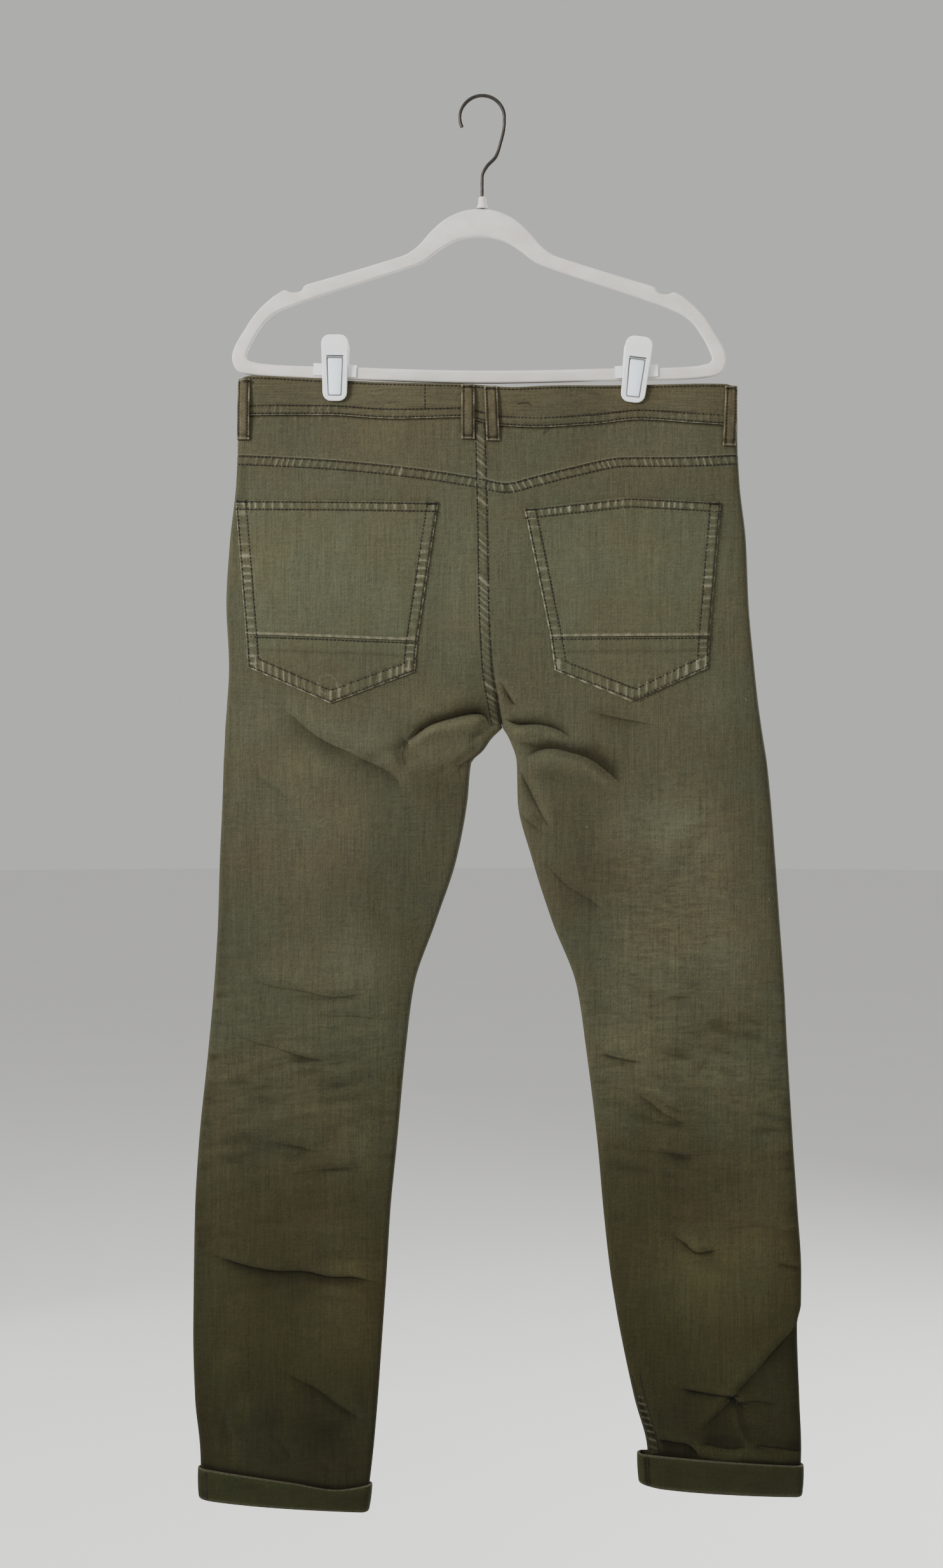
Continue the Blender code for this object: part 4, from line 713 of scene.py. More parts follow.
def flock():
    look = Look("flockedVelvet", Roughness=0.95, Sheen_Weight=0.12, Sheen_Roughness=0.5,
                Specular_IOR_Level=0.2)
    place = look.coordinates()
    nap = look.noise(place, (1.2, 1.2, 1.2), 0.4, 4.0, 0.7)
    rubbed = look.ramp(look.noise(place, (26, 26, 14), 2.0, 3.0, 0.6), 0.3, 0.7)
    colour = look.mix(rubbed, (0.520, 0.490, 0.445), (0.600, 0.575, 0.535))
    colour = look.mix(look.ramp(nap, 0.25, 0.75) * 0.3, colour, (0.47, 0.44, 0.385))
    return look.feed(Base_Color=colour, Normal=look.bump(nap, 0.2, 0.0002))


def moulded(name, base, worn, gloss):
    look = Look(name, Roughness=gloss, Specular_IOR_Level=0.5, Subsurface_Weight=0.05)
    place = look.coordinates()
    dust = look.ramp(look.noise(place, (9, 9, 7), 3.0, 4.0, 0.6), 0.35, 0.75)
    scuffs = look.ramp(look.noise(place, (1.2, 4.0, 9.0), 5.0, 3.0, 0.7), 0.58, 0.72)
    colour = look.mix(dust * 0.6 + scuffs * 0.4, base, worn)
    fine = look.noise(place, (0.8, 0.8, 0.8), 1.0, 2.0, 0.5)
    rough = gloss + dust * 0.15 + scuffs * 0.1
    return look.feed(Base_Color=colour, Roughness=rough, Normal=look.bump(fine, 0.15, 0.0001))


def metal(name, base, worn, gloss):
    look = Look(name, Metallic=1.0)
    place = look.coordinates()
    patina = look.ramp(look.noise(place, (3.5, 3.5, 3.5), 3.0, 4.0, 0.65), 0.35, 0.7)
    drawn = look.noise(place, (5, 5, 5), 4.0, 2.0, 0.6)
    colour = look.mix(patina, base, worn)
    return look.feed(Base_Color=colour, Roughness=gloss + patina * 0.08,
                     Normal=look.bump(drawn, 0.05, 0.0001))


flockSkin = flock()
clipPlastic = moulded("clipPlastic", (0.75, 0.755, 0.75), (0.66, 0.66, 0.65), 0.38)
insetPlastic = moulded("clipInset", (0.78, 0.84, 0.91), (0.70, 0.75, 0.81), 0.3)
# a dark plate in the gap round the clip inset: painted shadow
grooveShadow = moulded("clipGrooveShadow", (0.13, 0.135, 0.14), (0.18, 0.185, 0.19), 0.5)
# a dark plate at the top of the clip recess: painted shadow
slotShadow = moulded("clipSlotShadow", (0.05, 0.05, 0.05), (0.08, 0.08, 0.08), 0.6)
hookSteel = metal("agedHookWire", (0.055, 0.050, 0.043), (0.040, 0.037, 0.032), 0.5)
brass = metal("agedBrass", (0.42, 0.30, 0.15), (0.22, 0.15, 0.075), 0.36)


def finished(name, mesh, material, slot, *replaced):
    mesh.materials.clear()
    mesh.materials.append(material)
    made = bpy.data.objects.new(name, mesh)
    bpy.context.scene.collection.objects.link(made)
    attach(made, "root")
    if replaced:
        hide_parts(*replaced)
    return made


def settled(mesh, sharp, matrix=None):
    # faces outwards, smooth up to an angle in degrees; a flat outline is merged and placed first
    bm = bmesh.new()
    bm.from_mesh(mesh)
    if matrix is not None:
        bmesh.ops.remove_doubles(bm, verts=bm.verts, dist=0.00001)
        bmesh.ops.transform(bm, matrix=matrix, verts=bm.verts)
    bmesh.ops.recalc_face_normals(bm, faces=bm.faces)
    bm.to_mesh(mesh)
    bm.free()
    mesh.shade_smooth()
    mesh.set_sharp_from_angle(angle=math.radians(sharp))
    return mesh


def evaluatedMesh(name, data, tree=None, inputs=None):
    # what a curve, or a mesh with a node tree, comes out as
    helper = bpy.data.objects.new(name + "_source", data)
    bpy.context.scene.collection.objects.link(helper)
    if tree:
        modifier = helper.modifiers.new("stitches", "NODES")
        modifier.node_group = tree
        for key, value in inputs.items():
            modifier[key] = value
    evaluated = helper.evaluated_get(bpy.context.evaluated_depsgraph_get())
    mesh = bpy.data.meshes.new_from_object(evaluated)
    bpy.data.objects.remove(helper)
    mesh.name = name
    return mesh


def marked(mesh, marks):
    for key, values in marks.items():
        data = mesh.attributes.new(key, "FLOAT", "POINT").data
        data.foreach_set("value", np.concatenate(values).astype("f4"))
    return mesh


def wallMesh(name, *walls):
    # each wall is an outer and an inner grid of points with the marks of its outer face
    points, faces, start = [], [], 0
    marks = {key: [] for key in ("fold", "wear", "ripple", "tone", "crease", "dark", "light", "line")}
    for wall in walls:
        outer, inner = wall["outer"], wall["inner"]
        rows, columns = outer.shape[:2]
        index = np.arange(rows * columns).reshape(rows, columns) + start
        if wall.get("ring"):
            index = np.concatenate([index, index[:, :1]], axis=1)
        into = index + rows * columns
        quads = [
            (index[:-1, :-1], index[:-1, 1:], index[1:, 1:], index[1:, :-1]),
            (into[:-1, :-1], into[1:, :-1], into[1:, 1:], into[:-1, 1:]),
            (index[0, :-1], into[0, :-1], into[0, 1:], index[0, 1:]),
            (index[-1, :-1], index[-1, 1:], into[-1, 1:], into[-1, :-1]),
        ]
        if not wall.get("ring"):
            quads += [
                (index[:-1, 0], index[1:, 0], into[1:, 0], into[:-1, 0]),
                (index[:-1, -1], into[:-1, -1], into[1:, -1], index[1:, -1]),
            ]
        faces += [np.stack([corner.ravel() for corner in quad], axis=1) for quad in quads]
        points += [outer.reshape(-1, 3), inner.reshape(-1, 3)]
        for key in marks:
            value = np.broadcast_to(wall.get(key, 0.0), (rows, columns)).ravel()
            marks[key] += [value, np.zeros(rows * columns)]
        start += 2 * rows * columns
    mesh = bpy.data.meshes.new(name)
    mesh.from_pydata((np.concatenate(points) * mm).tolist(), [], np.concatenate(faces).tolist())
    return settled(marked(mesh, marks), 55)


edgeSteps = np.array([0, 0.12, 0.5, 1.15, 2.1, 3.2])


def spread(width, step):
    # shares of a width with close columns over both rounded edges
    count = max(4, round((width - 9) / step))
    middle = np.linspace(4.5, width - 4.5, count)
    return np.concatenate([edgeSteps, middle, width - edgeSteps[::-1]]) / width


def rowDrops(start, end, bands):
    drops = [start]
    for until, step in bands:
        until = min(until, end)
        while drops[-1] < until - step * 0.6:
            drops.append(drops[-1] + step)
    drops[-1] = end
    return np.array(drops)


def area(obj):
    return sum(polygon.area for polygon in obj.data.polygons)


print("stage: leg panels")
legPanels = {
    "width": 235.0,
    "levels": (500.0, 1240.0),
    "step": {"back": 2.9, "front": 4.4},
    "bands": {
        "back": ((350, 2.5), (538, 6), (645, 1.9), (785, 4), (985, 2.5), (1030, 4), (1085, 2),
                 (1130, 4), (1300, 2.2)),
        "front": ((350, 3), (470, 6), (640, 4), (780, 6), (960, 4), (1040, 6), (1300, 4)),
    },
    "flat": {"back": (0.255, 0.945), "front": (0.250, 0.950)},
    "area": {"back": 0.168, "front": 0.158},
    "topFade": 4,
    "footFade": 8,
}  # fmt: skip
scoop = {"width": 92.0, "depth": 74.0, "level": 320.0, "gap": 1.1, "wall": 1.1, "under": 14.0,
         "seam": 1.8, "lift": 1.7}  # fmt: skip


def scoopDrop(side, x):
    share = np.minimum(1.0, np.abs(x - outseam(side, scoop["level"])) / scoop["width"])
    return reading(bandSeam["front"], "drop", x) + 0.15 + scoop["depth"] * (1 - share**2.4) ** 0.8


def legMarks(side, face, x, drop):
    low, high = sidewaysEnds(side, drop)
    outerRim = hump(np.abs(x - outseam(side, drop)) - 2, 9.0)
    marks = foldForm(face, x, drop)[1]
    edge = softStep((np.minimum(np.abs(x - low), np.abs(x - high)) + 2) / 8)
    # fold is painted shade and highlight: the folds' painted shade, knee ripples painted lighter on their
    # crests and darker between, a darker band along the outseam, a painted shadow just above the turn-up, and
    # some random tone
    fold = marks["fold"] + 0.12 * cloudNoise(x, drop, 40, 60, 19) - 0.70 * kneeRipples(face, x, drop)
    fold = fold + 0.26 * outerRim * (drop > 330)
    fold = fold + 0.7 * hump(reading(turnTops[side], "drop", x) - drop - 1.0, 3.5)
    knee = hump((drop - 875), 75.0) * 0.55
    thigh = hump(drop - 715, 95.0) * hump(x - 168, 70.0) if side == "right" else 0.25 * hump(drop - 640, 60.0)
    return {
        **{key: marks[key] * edge for key in ("dark", "light", "line")},
        "crease": np.clip(marks["crease"], -9, 9),
        "fold": np.clip(fold * edge + 0.12 * outerRim, -1, 1),
        "ripple": np.clip(knee + thigh, 0, 1),
        "tone": toneAt(x, drop) if face == "back" else 0.6 * toneAt(x, drop),
    }


def legPanel(side, face):
    middle, low = ((outseam(side, level) + innerSeam(side, level)) / 2 for level in legPanels["levels"])

    def top(x):
        return reading(yokeSeam, "drop", x) + 0.15 if face == "back" else scoopDrop(side, x)

    def foot(x):
        return reading(hems[side], "drop", x) - body["hemLip"]

    first, last = float(top(middle)), float(foot(low))
    drops = rowDrops(first, last, legPanels["bands"][face])
    shares = spread(legPanels["width"], legPanels["step"][face])
    grids = []
    for inset in (0.0, body["clothWall"]):

        def across(drop, inset=inset):
            outer, inner = outseam(side, drop), innerSeam(side, drop)
            width = np.abs(inner - outer) - inset * (1 + parting(drop)) - body["seamGap"] / 2
            return outer + np.sign(inner - outer) * (inset + shares * width)

        drop = drops[:, None] + 0 * shares
        x = across(drop)
        fromTop = (drop - first) / (last - first)
        drop = drop + (top(x) - first) * (1 - fromTop) ** legPanels["topFade"]
        drop = drop + (foot(x) - last) * fromTop ** legPanels["footFade"]
        x = across(drop)
        depth = np.maximum(clothDepth(side, face, x, drop, inset), -body["seamLap"])
        grids.append((x, drop, at(face, x, depth, drop)))
    x, drop, outer = grids[0]
    name = f"{face}Leg_{side}"
    mesh = wallMesh(name, {"outer": outer, "inner": grids[1][2], **legMarks(side, face, x, drop)})
    made = finished(name, mesh, denimCloth, "denim", f"{face}_leg_{side}")
    return made


sheets = [legPanel(side, face) for side in ("left", "right") for face in ("back", "front")]

print("stage: yokes and waistband")
yokes = {"width": 225.0, "level": 310.0, "step": 1.9, "rows": 22, "flat": (0.235, 0.055), "area": 0.0105}
band = {"width": 450.0, "level": 275.0, "step": 1.9, "rows": 22, "flat": (0.94, 0.037),
        "rowsFromTop": 2.2, "rowsFromFoot": (1.7, 8.5), "pitch": 6.2, "seed": 31}  # fmt: skip


def seamBand(distance, along, first, second, pitch, seed, rise=0.30):
    # height, wear and painted shade of the doubled cloth between two rows of stitches beside an edge; the
    # painted shade darkens the stitch grooves and the troughs between puckers
    inside = softStep((distance - first + 0.4) / 1.2) * softStep((second - distance + 0.4) / 1.6)
    ripple = puckers(along, pitch, seed)
    spill = hump(np.maximum(distance - second, 0), 3.0) * (distance > second)
    grooves = hump(distance - first, 0.8) + hump(distance - second, 0.8)
    high = np.clip(ripple, 0, 1)
    height = rise * inside * (0.5 + ripple) - 0.3 * grooves + 0.14 * spill * high
    wear = inside * high**1.6 * 0.6 + spill * high**1.5 * 0.35
    fold = 0.9 * grooves + inside * np.clip(-ripple, 0, 1) * 0.45
    return height, wear, fold


def yoke(side):
    shares = spread(yokes["width"], yokes["step"])
    down = np.linspace(0, 1, yokes["rows"])[:, None]
    grids = []
    for inset in (0.0, body["clothWall"]):
        outer, inner = outseam(side, yokes["level"]), innerSeam(side, yokes["level"])
        width = abs(inner - outer) - inset - 0.15
        x = outer + np.sign(inner - outer) * (inset + shares * width)
        high = reading(bandSeam["back"], "drop", x) + 0.3
        low = reading(yokeSeam, "drop", x) - 0.15
        drop = high + (low - high) * down
        x = x + 0 * drop
        depth = clothDepth(side, "back", x, drop, inset)
        fromFoot, fromTop = low - drop, drop - high
        ridge = hump(fromFoot, 1.3)
        ripple = puckers(x, 7.0, 51)
        if inset == 0.0:
            depth = depth + 0.5 * ridge - 0.45 * hump(fromTop, 1.6) + 0.12 * ripple * hump(fromTop, 6.0)
            # the yoke is painted darker along its top edge under the waistband, as shade, besides the folds'
            # painted shade
            marks = {
                "wear": 0.35 * ridge + 0.25 * np.clip(ripple, 0, 1) * hump(fromTop - 3, 3.5),
                "fold": np.clip(0.9 * hump(fromTop, 1.8) + foldShade("back", x, drop), -1, 1),
                "tone": toneAt(x, drop),
            }
        grids.append(at("back", x, np.maximum(depth, 0.15), drop))
    mesh = wallMesh(f"yoke_{side}_panel", {"outer": grids[0], "inner": grids[1], **marks})
    made = finished(f"yoke_{side}_panel", mesh, denimCloth, "denim", f"yoke_{side}")
    return made


sheets += [yoke(side) for side in ("left", "right")]


def waistbandWall():
    back = spread(band["width"], band["step"])
    left, right = (float(outseam(side, band["level"])) for side in ("left", "right"))
    under = (right + body["bandUnderlap"]) / (right - left)  # share from the right outseam
    lap = (right - body["bandLap"]) / (right - left)
    first = [s for s in back if s < under - 0.003] + [under]
    second = [s for s in back if s > lap + 0.003]
    share = np.concatenate([first[::-1], back[1:], [*second[::-1], lap][1:]])
    face = np.concatenate([np.ones(len(first)), np.zeros(len(back) - 1), np.ones(len(second))])
    lastPart = np.arange(len(share)) >= len(first) + len(back) - 1
    down = np.linspace(0, 1, band["rows"])[:, None]
    down = down - 0.035 * np.sin(2 * np.pi * down)  # closer rows at both edges
    grids = []
    for inset in (-body["bandProud"], body["bandWall"] - body["bandProud"]):
        x = right - inset - share * (right - left - 2 * inset)
        isFront = face > 0.5
        high = np.where(isFront, reading(bandTop["front"], "drop", x), reading(bandTop["back"], "drop", x))
        low = np.where(isFront, reading(bandSeam["front"], "drop", x), reading(bandSeam["back"], "drop", x))
        drop = high + (low - 0.15 - high) * down
        across = outseam("right", drop) - inset - share * (
            outseam("right", drop) - outseam("left", drop) - 2 * inset)
        backDepth, frontDepth = (seatDepth(side, across, drop, inset) for side in ("back", "front"))
        fromTop, fromFoot = drop - high, low - drop
        along = np.cumsum(np.hypot(np.diff(x, prepend=x[0]), 0.02)) + 0 * drop
        height, wear, fold = seamBand(
            fromFoot, along, *band["rowsFromFoot"], band["pitch"], band["seed"], 0.2)
        topRow = hump(fromTop - band["rowsFromTop"], 0.8)
        soft = 0.35 * cloudNoise(along, drop, 32, 30, 41) * softStep(fromTop / 8) * softStep(fromFoot / 8)
        height = height - 0.25 * topRow + soft - 0.5 * hump(fromTop, 0.7) - 0.35 * hump(fromFoot, 0.6)
        if inset > 0:
            height = 0 * height
        else:
            edge = hump(fromFoot - 0.4, 1.2)
            ragged = 0.7 + 0.3 * puckers(along, 9.0, 43)
            wear = wear * 0.55 + 0.6 * edge * ragged + 0.3 * hump(fromTop - 0.5, 0.9)
            # fold paints shade into the stitch grooves
            marks = {"wear": np.clip(wear, 0, 1),
                     "fold": np.clip(fold * 0.7 + 0.35 * topRow, -1, 1)}
        lapShift = (body["bandWall"] + 0.3) * np.where(lastPart, lapShare(across), 0.0)
        y = np.where(isFront, frontDepth + height + lapShift, -backDepth - height)
        grids.append(np.stack([across, y, -drop], axis=-1))
    return {"outer": grids[0], "inner": grids[1], **marks}


waistband = wallMesh("waistbandStrip", waistbandWall())
waistband = finished("waistbandStrip", waistband, bandDenim, "denim", "waistband")
sheets.append(waistband)

print("stage: back pockets")
pockets = {
    "left": {
        "top": ((-221.5, 362.6), (-130, 364.2), (-39.1, 366.0)),
        "cross": ((-211.8, 483.1), (-57.7, 489.9)),
        "low": ((-210.1, 512.5), (-135.3, 545.3), (-60.0, 517.3)),
        "seed": 61,
        "borderWear": (0.45, 0.85),  # outer side, inner side
    },
    "right": {
        "top": ((213.6, 364.9), (134.8, 361.4), (37.1, 372.0)),
        "cross": ((203.3, 484.5), (60.3, 486.4)),
        "low": ((201.6, 513.3), (135.9, 543.9), (64.2, 515.9)),
        "seed": 71,
        "borderWear": (0.55, 0.8),
    },
}
pocketSewing = {"step": 1.7, "top": (1.7, 8.6), "side": (1.7, 10.0), "foot": (1.7, 11.4), "cross": 1.9,
                "crease": 13.5, "pitch": 7.2, "flatUpper": (0.182, 0.122), "flatLower": (0.152, 0.058),
                "areaUpper": 0.0198, "areaLower": 0.0068}  # fmt: skip
ringMark = {"x": -138.2, "drop": 528.2, "radius": 8.3, "width": 0.9, "wear": 0.35}


def lineDrop(points, share):
    if len(points) == 2:
        return points[0][1] + (points[1][1] - points[0][1]) * share
    return np.interp(share, (0, 0.5, 1), [p[1] for p in points])


def pocketWall(side, lower):
    pocket, sewing = pockets[side], pocketSewing
    high, low = (pocket["cross"], pocket["low"]) if lower else (pocket["top"], pocket["cross"])
    width = abs(high[-1][0] - high[0][0])
    shares = spread(width, sewing["step"])
    rows = 34 if lower else 74
    down = np.linspace(0, 1, rows)[:, None]
    outerX = high[0][0] + (low[0][0] - high[0][0]) * down
    innerX = high[-1][0] + (low[-1][0] - high[-1][0]) * down
    x = outerX + (innerX - outerX) * shares
    upperDrop = lineDrop(high, shares) + (0.3 if lower else 0.0)
    lowerDrop = lineDrop(low, shares)
    drop = upperDrop + (lowerDrop - upperDrop) * down
    fromOuter, fromInner = np.abs(x - outerX), np.abs(innerX - x)
    fromHigh, fromLow = drop - upperDrop, lowerDrop - drop
    outerWear, innerWear = pocket["borderWear"]
    height, wear, fold = np.zeros(x.shape), np.zeros(x.shape), np.zeros(x.shape)
    bands = [(fromOuter, drop, sewing["side"], 1, outerWear), (fromInner, drop, sewing["side"], 2, innerWear)]
    if lower:
        slant = 0.918
        bands.append((fromLow * slant, x, sewing["foot"], 3, 0.95))
    else:
        bands.append((fromHigh, x, sewing["top"], 4, 0.3))
    for distance, along, (first, second), extra, border in bands:
        seed = pocket["seed"] + 2 * extra
        one, two, three = seamBand(distance, along, first, second, sewing["pitch"], seed, 0.42)
        height += one - 0.9 * hump(distance, 0.8)
        ragged = 0.55 + 0.45 * puckers(along, 11.0, seed + 20)
        wear = np.maximum(wear, np.maximum(two, border * ragged * hump(distance - 0.3, 1.3)))
        fold = np.maximum(fold, three)
    if lower:
        height += -0.3 * hump(fromHigh - sewing["cross"], 0.8) - 0.5 * hump(fromHigh, 0.9)
        crease = hump(fromHigh - sewing["crease"], 1.5)
        crease = crease * softStep((fromOuter - 10) / 4) * softStep((fromInner - 10) / 4)
        height -= 0.55 * crease
        fold = np.maximum(fold, np.maximum(0.8 * crease, 0.6 * hump(fromHigh, 1.0)))
        fromRing = np.hypot(x - ringMark["x"], drop - ringMark["drop"]) - ringMark["radius"]
        ring = hump(fromRing, ringMark["width"])
        wear = np.maximum(wear, ringMark["wear"] * ring)
    else:
        ridge = hump(fromLow - 0.9, 1.5)
        height += 0.45 * ridge
        ragged = 0.8 + 0.2 * puckers(x, 10.0, pocket["seed"] + 33)
        wear = np.maximum(wear, 0.65 * ridge * ragged)
        fold = np.maximum(fold, 0.35 * hump(fromLow - 3.5, 1.5))
    soft = 0.35 * cloudNoise(x, drop, 30, 46, pocket["seed"])
    height += soft * softStep(fromOuter / 14) * softStep(fromInner / 14)
    lift = body["patchGap"] + body["patchWall"]
    base = bodyDepth("back", x, drop, 0.0)
    grids = [at("back", x, base + lift + height, drop), at("back", x, base + body["patchGap"] - 0.3, drop)]
    # fold is painted shade in the stitch grooves, along the cross crease and seam and beside the ridge above
    # the cross seam, with the folds' painted shade and highlight; the whole pocket is made lighter
    crease = np.clip(foldShade("back", x, drop), -0.6, 0.6)
    return {"outer": grids[0], "inner": grids[1], "wear": np.clip(wear, 0, 1),
            "fold": np.clip(fold + crease - 0.42, -1, 1), "tone": toneAt(x, drop)}


for side in pockets:
    for part, flat, size in (("upper", "flatUpper", "areaUpper"), ("lower", "flatLower", "areaLower")):
        name = f"backPocket_{side}_{part}"
        mesh = wallMesh(name, pocketWall(side, part == "lower"))
        made = finished(name, mesh, denimCloth, "denim", f"back_pocket_{side}_{part}")
        sheets.append(made)

print("stage: belt loops, front pockets, fly")
loops = {
    "size": {"width": 11.8, "wall": 1.5, "bulge": 1.4, "rows": 44, "columns": 13, "inset": 2.0},
    "flat": (0.0118, 0.052),
    "places": {
        "left_side": ("back", -214.0, -214.6, 254.0, 308.5),
        "back_left": ("back", -12.9, -12.9, 259.8, 309.0),
        "back_right": ("back", 7.4, 9.4, 261.4, 310.6),
        "right_side": ("back", 223.5, 221.0, 260.5, 314.0),
        "front_left": ("front", -82.0, -82.0, 257.8, 309.0),
        "front_right": ("front", 92.0, 92.0, 260.6, 311.0),
    },
}


def waistLine(drop, inset):
    # points round the waist with their distances, from the right outseam over the back
    left, right = float(outseam("left", drop)) + inset, float(outseam("right", drop)) - inset
    share = 0.5 - 0.5 * np.cos(np.pi * np.linspace(0, 1, 700))
    x = right + (left - right) * share
    y = -seatDepth("back", x, drop, inset)
    frontX, frontY = x[::-1], seatDepth("front", x[::-1], drop, inset)
    x = np.concatenate([frontX[350:-1], x, frontX[1:350]])
    y = np.concatenate([frontY[350:-1], y, frontY[1:350]])
    walked = wayAlong(x, y)
    backPart = slice(349, 349 + 700)
    return x, y, walked, backPart


def loopPoints(place, down, aside, inset):
    face, xTop, xLow, top, low = place
    drop = top + (low - top) * down
    x, y, walked, backPart = waistLine(drop, inset)
    middleX = xTop + (xLow - xTop) * down
    if face == "back":
        middle = np.interp(-middleX, -x[backPart], walked[backPart])
    else:
        part = slice(0, 350) if middleX > 6 else slice(349 + 699, None)
        order = np.argsort(x[part])
        middle = np.interp(middleX, x[part][order], walked[part][order])
    return np.stack([np.interp(middle + aside, walked, x), np.interp(middle + aside, walked, y),
                     np.full(len(aside), -drop)], axis=-1)


def beltLoop(name):
    size, place = loops["size"], loops["places"][name]
    aside = np.linspace(-1, 1, size["columns"])
    aside = np.sign(aside) * np.abs(aside) ** 0.85 * size["width"] / 2
    rest = body["bandProud"] + body["patchGap"]
    outer, inner, wear, fold = [], [], [], []
    seed = 90 + len(name)
    for down in np.linspace(0, 1, size["rows"]):
        stand = size["bulge"] * math.sin(math.pi * down)
        edge = size["width"] / 2 - np.abs(aside)
        groove = hump(edge - size["inset"], 0.8)
        worn = 0.35 + 0.35 * cloudNoise(aside, down * 50, 3.0, 6.0, seed)
        height = -0.6 * hump(edge, 0.8) - 0.25 * groove + 0.12 * worn
        outer.append(loopPoints(place, down, aside, -rest - size["wall"] - stand) +
                     np.stack([0 * height, height * (1 if place[0] == "front" else -1), 0 * height], axis=-1))
        inner.append(loopPoints(place, down, aside, -rest - stand + 0.2))
        wear.append(np.clip(0.7 * hump(edge - 0.4, 0.9) * worn + 0.4 * (1 - groove) * worn
                            + 0.35 * (hump(down * 50 - 1, 1.2) + hump((1 - down) * 50 - 1.5, 1.4)), 0, 1))
        # fold paints shade into the stitch grooves and where the loop tucks under at both ends
        fold.append(0.9 * groove + 0.7 * (hump(down * 50 - 3, 0.8) + hump((1 - down) * 50 - 4, 0.9)))
    mesh = wallMesh("beltLoop_" + name, {"outer": np.array(outer), "inner": np.array(inner),
                                         "wear": np.array(wear), "fold": np.clip(np.array(fold), -1, 1)})
    made = finished("beltLoop_" + name, mesh, loopDenim, "denim", "belt_loop_" + name)
    return made


sheets += [beltLoop(name) for name in loops["places"]]


def pocketFacing(side):
    inward = inwards[side]
    along = 1 - np.cos(np.pi / 2 * np.linspace(0, 1, 40))
    down = np.linspace(0, 1, 34)[:, None]
    grids = []
    for inset in (scoop["seam"] + scoop["gap"], scoop["seam"] + scoop["gap"] + scoop["wall"]):
        fromSeam = inset + along * (scoop["width"] + scoop["under"])
        topX = outseam(side, 300.0) + inward * fromSeam
        high = reading(bandSeam["front"], "drop", topX) + 0.3
        low = scoopDrop(side, topX - inward * scoop["under"]) + scoop["under"]
        drop = high + (np.maximum(low, high + scoop["under"]) - high) * down
        x = outseam(side, drop) + inward * fromSeam
        depth = np.maximum(clothDepth(side, "front", x, drop, inset), 0.15)
        risen = (1 - softStep((drop - high) / 12)) * softStep((scoop["width"] - fromSeam - 3) / 8)
        depth = depth + scoop["lift"] * risen
        grids.append(at("front", x, depth, drop))
    # the facing is painted a little darker, as shade in the pocket mouth
    mesh = wallMesh("pocketFacing_" + side, {"outer": grids[0], "inner": grids[1], "fold": 0.15})
    made = finished("pocketFacing_" + side, mesh, denimCloth, "denim", "front_pocket_facing_" + side)
    return made


sheets += [pocketFacing(side) for side in ("left", "right")]
flyShape = {"width": 38.0, "length": 132.0, "curve": 0.62, "tip": 3.0}


def flyWidth(down):
    past = np.maximum(0.0, (down - flyShape["curve"]) / (1 - flyShape["curve"]))
    return flyShape["tip"] + (flyShape["width"] - flyShape["tip"]) * np.sqrt(np.maximum(0, 1 - past**2.2))


def flyPiece():
    down = np.linspace(0, 1, 70)[:, None]
    share = np.linspace(0, 1, 24)
    bandFoot = float(reading(bandSeam["front"], "drop", 0.0))
    seam = innerSeam("left", bandFoot + flyShape["length"] * down) - 0.3
    x = seam - flyWidth(down) * (1 - share)
    top = reading(bandSeam["front"], "drop", x) + 0.6
    drop = top + (bandFoot + flyShape["length"] - top) * down
    base = np.maximum(clothDepth("left", "front", x, drop, 0.0), 0.15)
    fromEdge, fromSeam = np.minimum(x - (seam - flyWidth(down)), 20), seam - x
    ripple = puckers(drop, 8.0, 85)
    height = -0.5 * hump(fromEdge, 0.9) - 0.5 * hump(fromSeam, 0.9) + 0.2 * ripple * hump(fromEdge - 4, 4)
    wear = 0.5 * hump(fromSeam - 0.5, 1.3) + 0.4 * hump(fromEdge - 4, 3.5) * np.clip(ripple, 0, 1)
    grids = [at("front", x, base + 1.85 + height, drop), at("front", x, base + 0.15, drop)]
    mesh = wallMesh("flyFacing", {"outer": grids[0], "inner": grids[1], "wear": wear})
    made = finished("flyFacing", mesh, denimCloth, "denim", "fly")
    return made


sheets.append(flyPiece())

print("stage: turn-ups")
turnUp = {"width": 150.0, "step": 2.6, "level": 1235.0, "wall": 1.9, "gap": 0.6, "rows": 12,
          "flare": {"left": 0.0, "right": 7.0},
          # where across the turn-up its join lies, how dark its painted groove shade is and how wide
          "join": {"left": (0.03, 0.5, 4.5), "right": (0.945, 1.3, 2.4)},
          "flat": {"left": (0.308, 0.031), "right": (0.292, 0.033)}}  # fmt: skip


def hemPoint(side, face, share, drop, inset):
    outer, inner = outseam(side, drop), innerSeam(side, drop)
    inward = inwards[side]
    inner = inner + inward * turnUp["flare"][side]
    x = outer + inward * (inset + share * (np.abs(inner - outer) - 2 * inset))
    low, high = np.minimum(outer, inner), np.maximum(outer, inner)
    return x, sectionDepth(x, low, high, reading(legs[side], face, drop), inset)


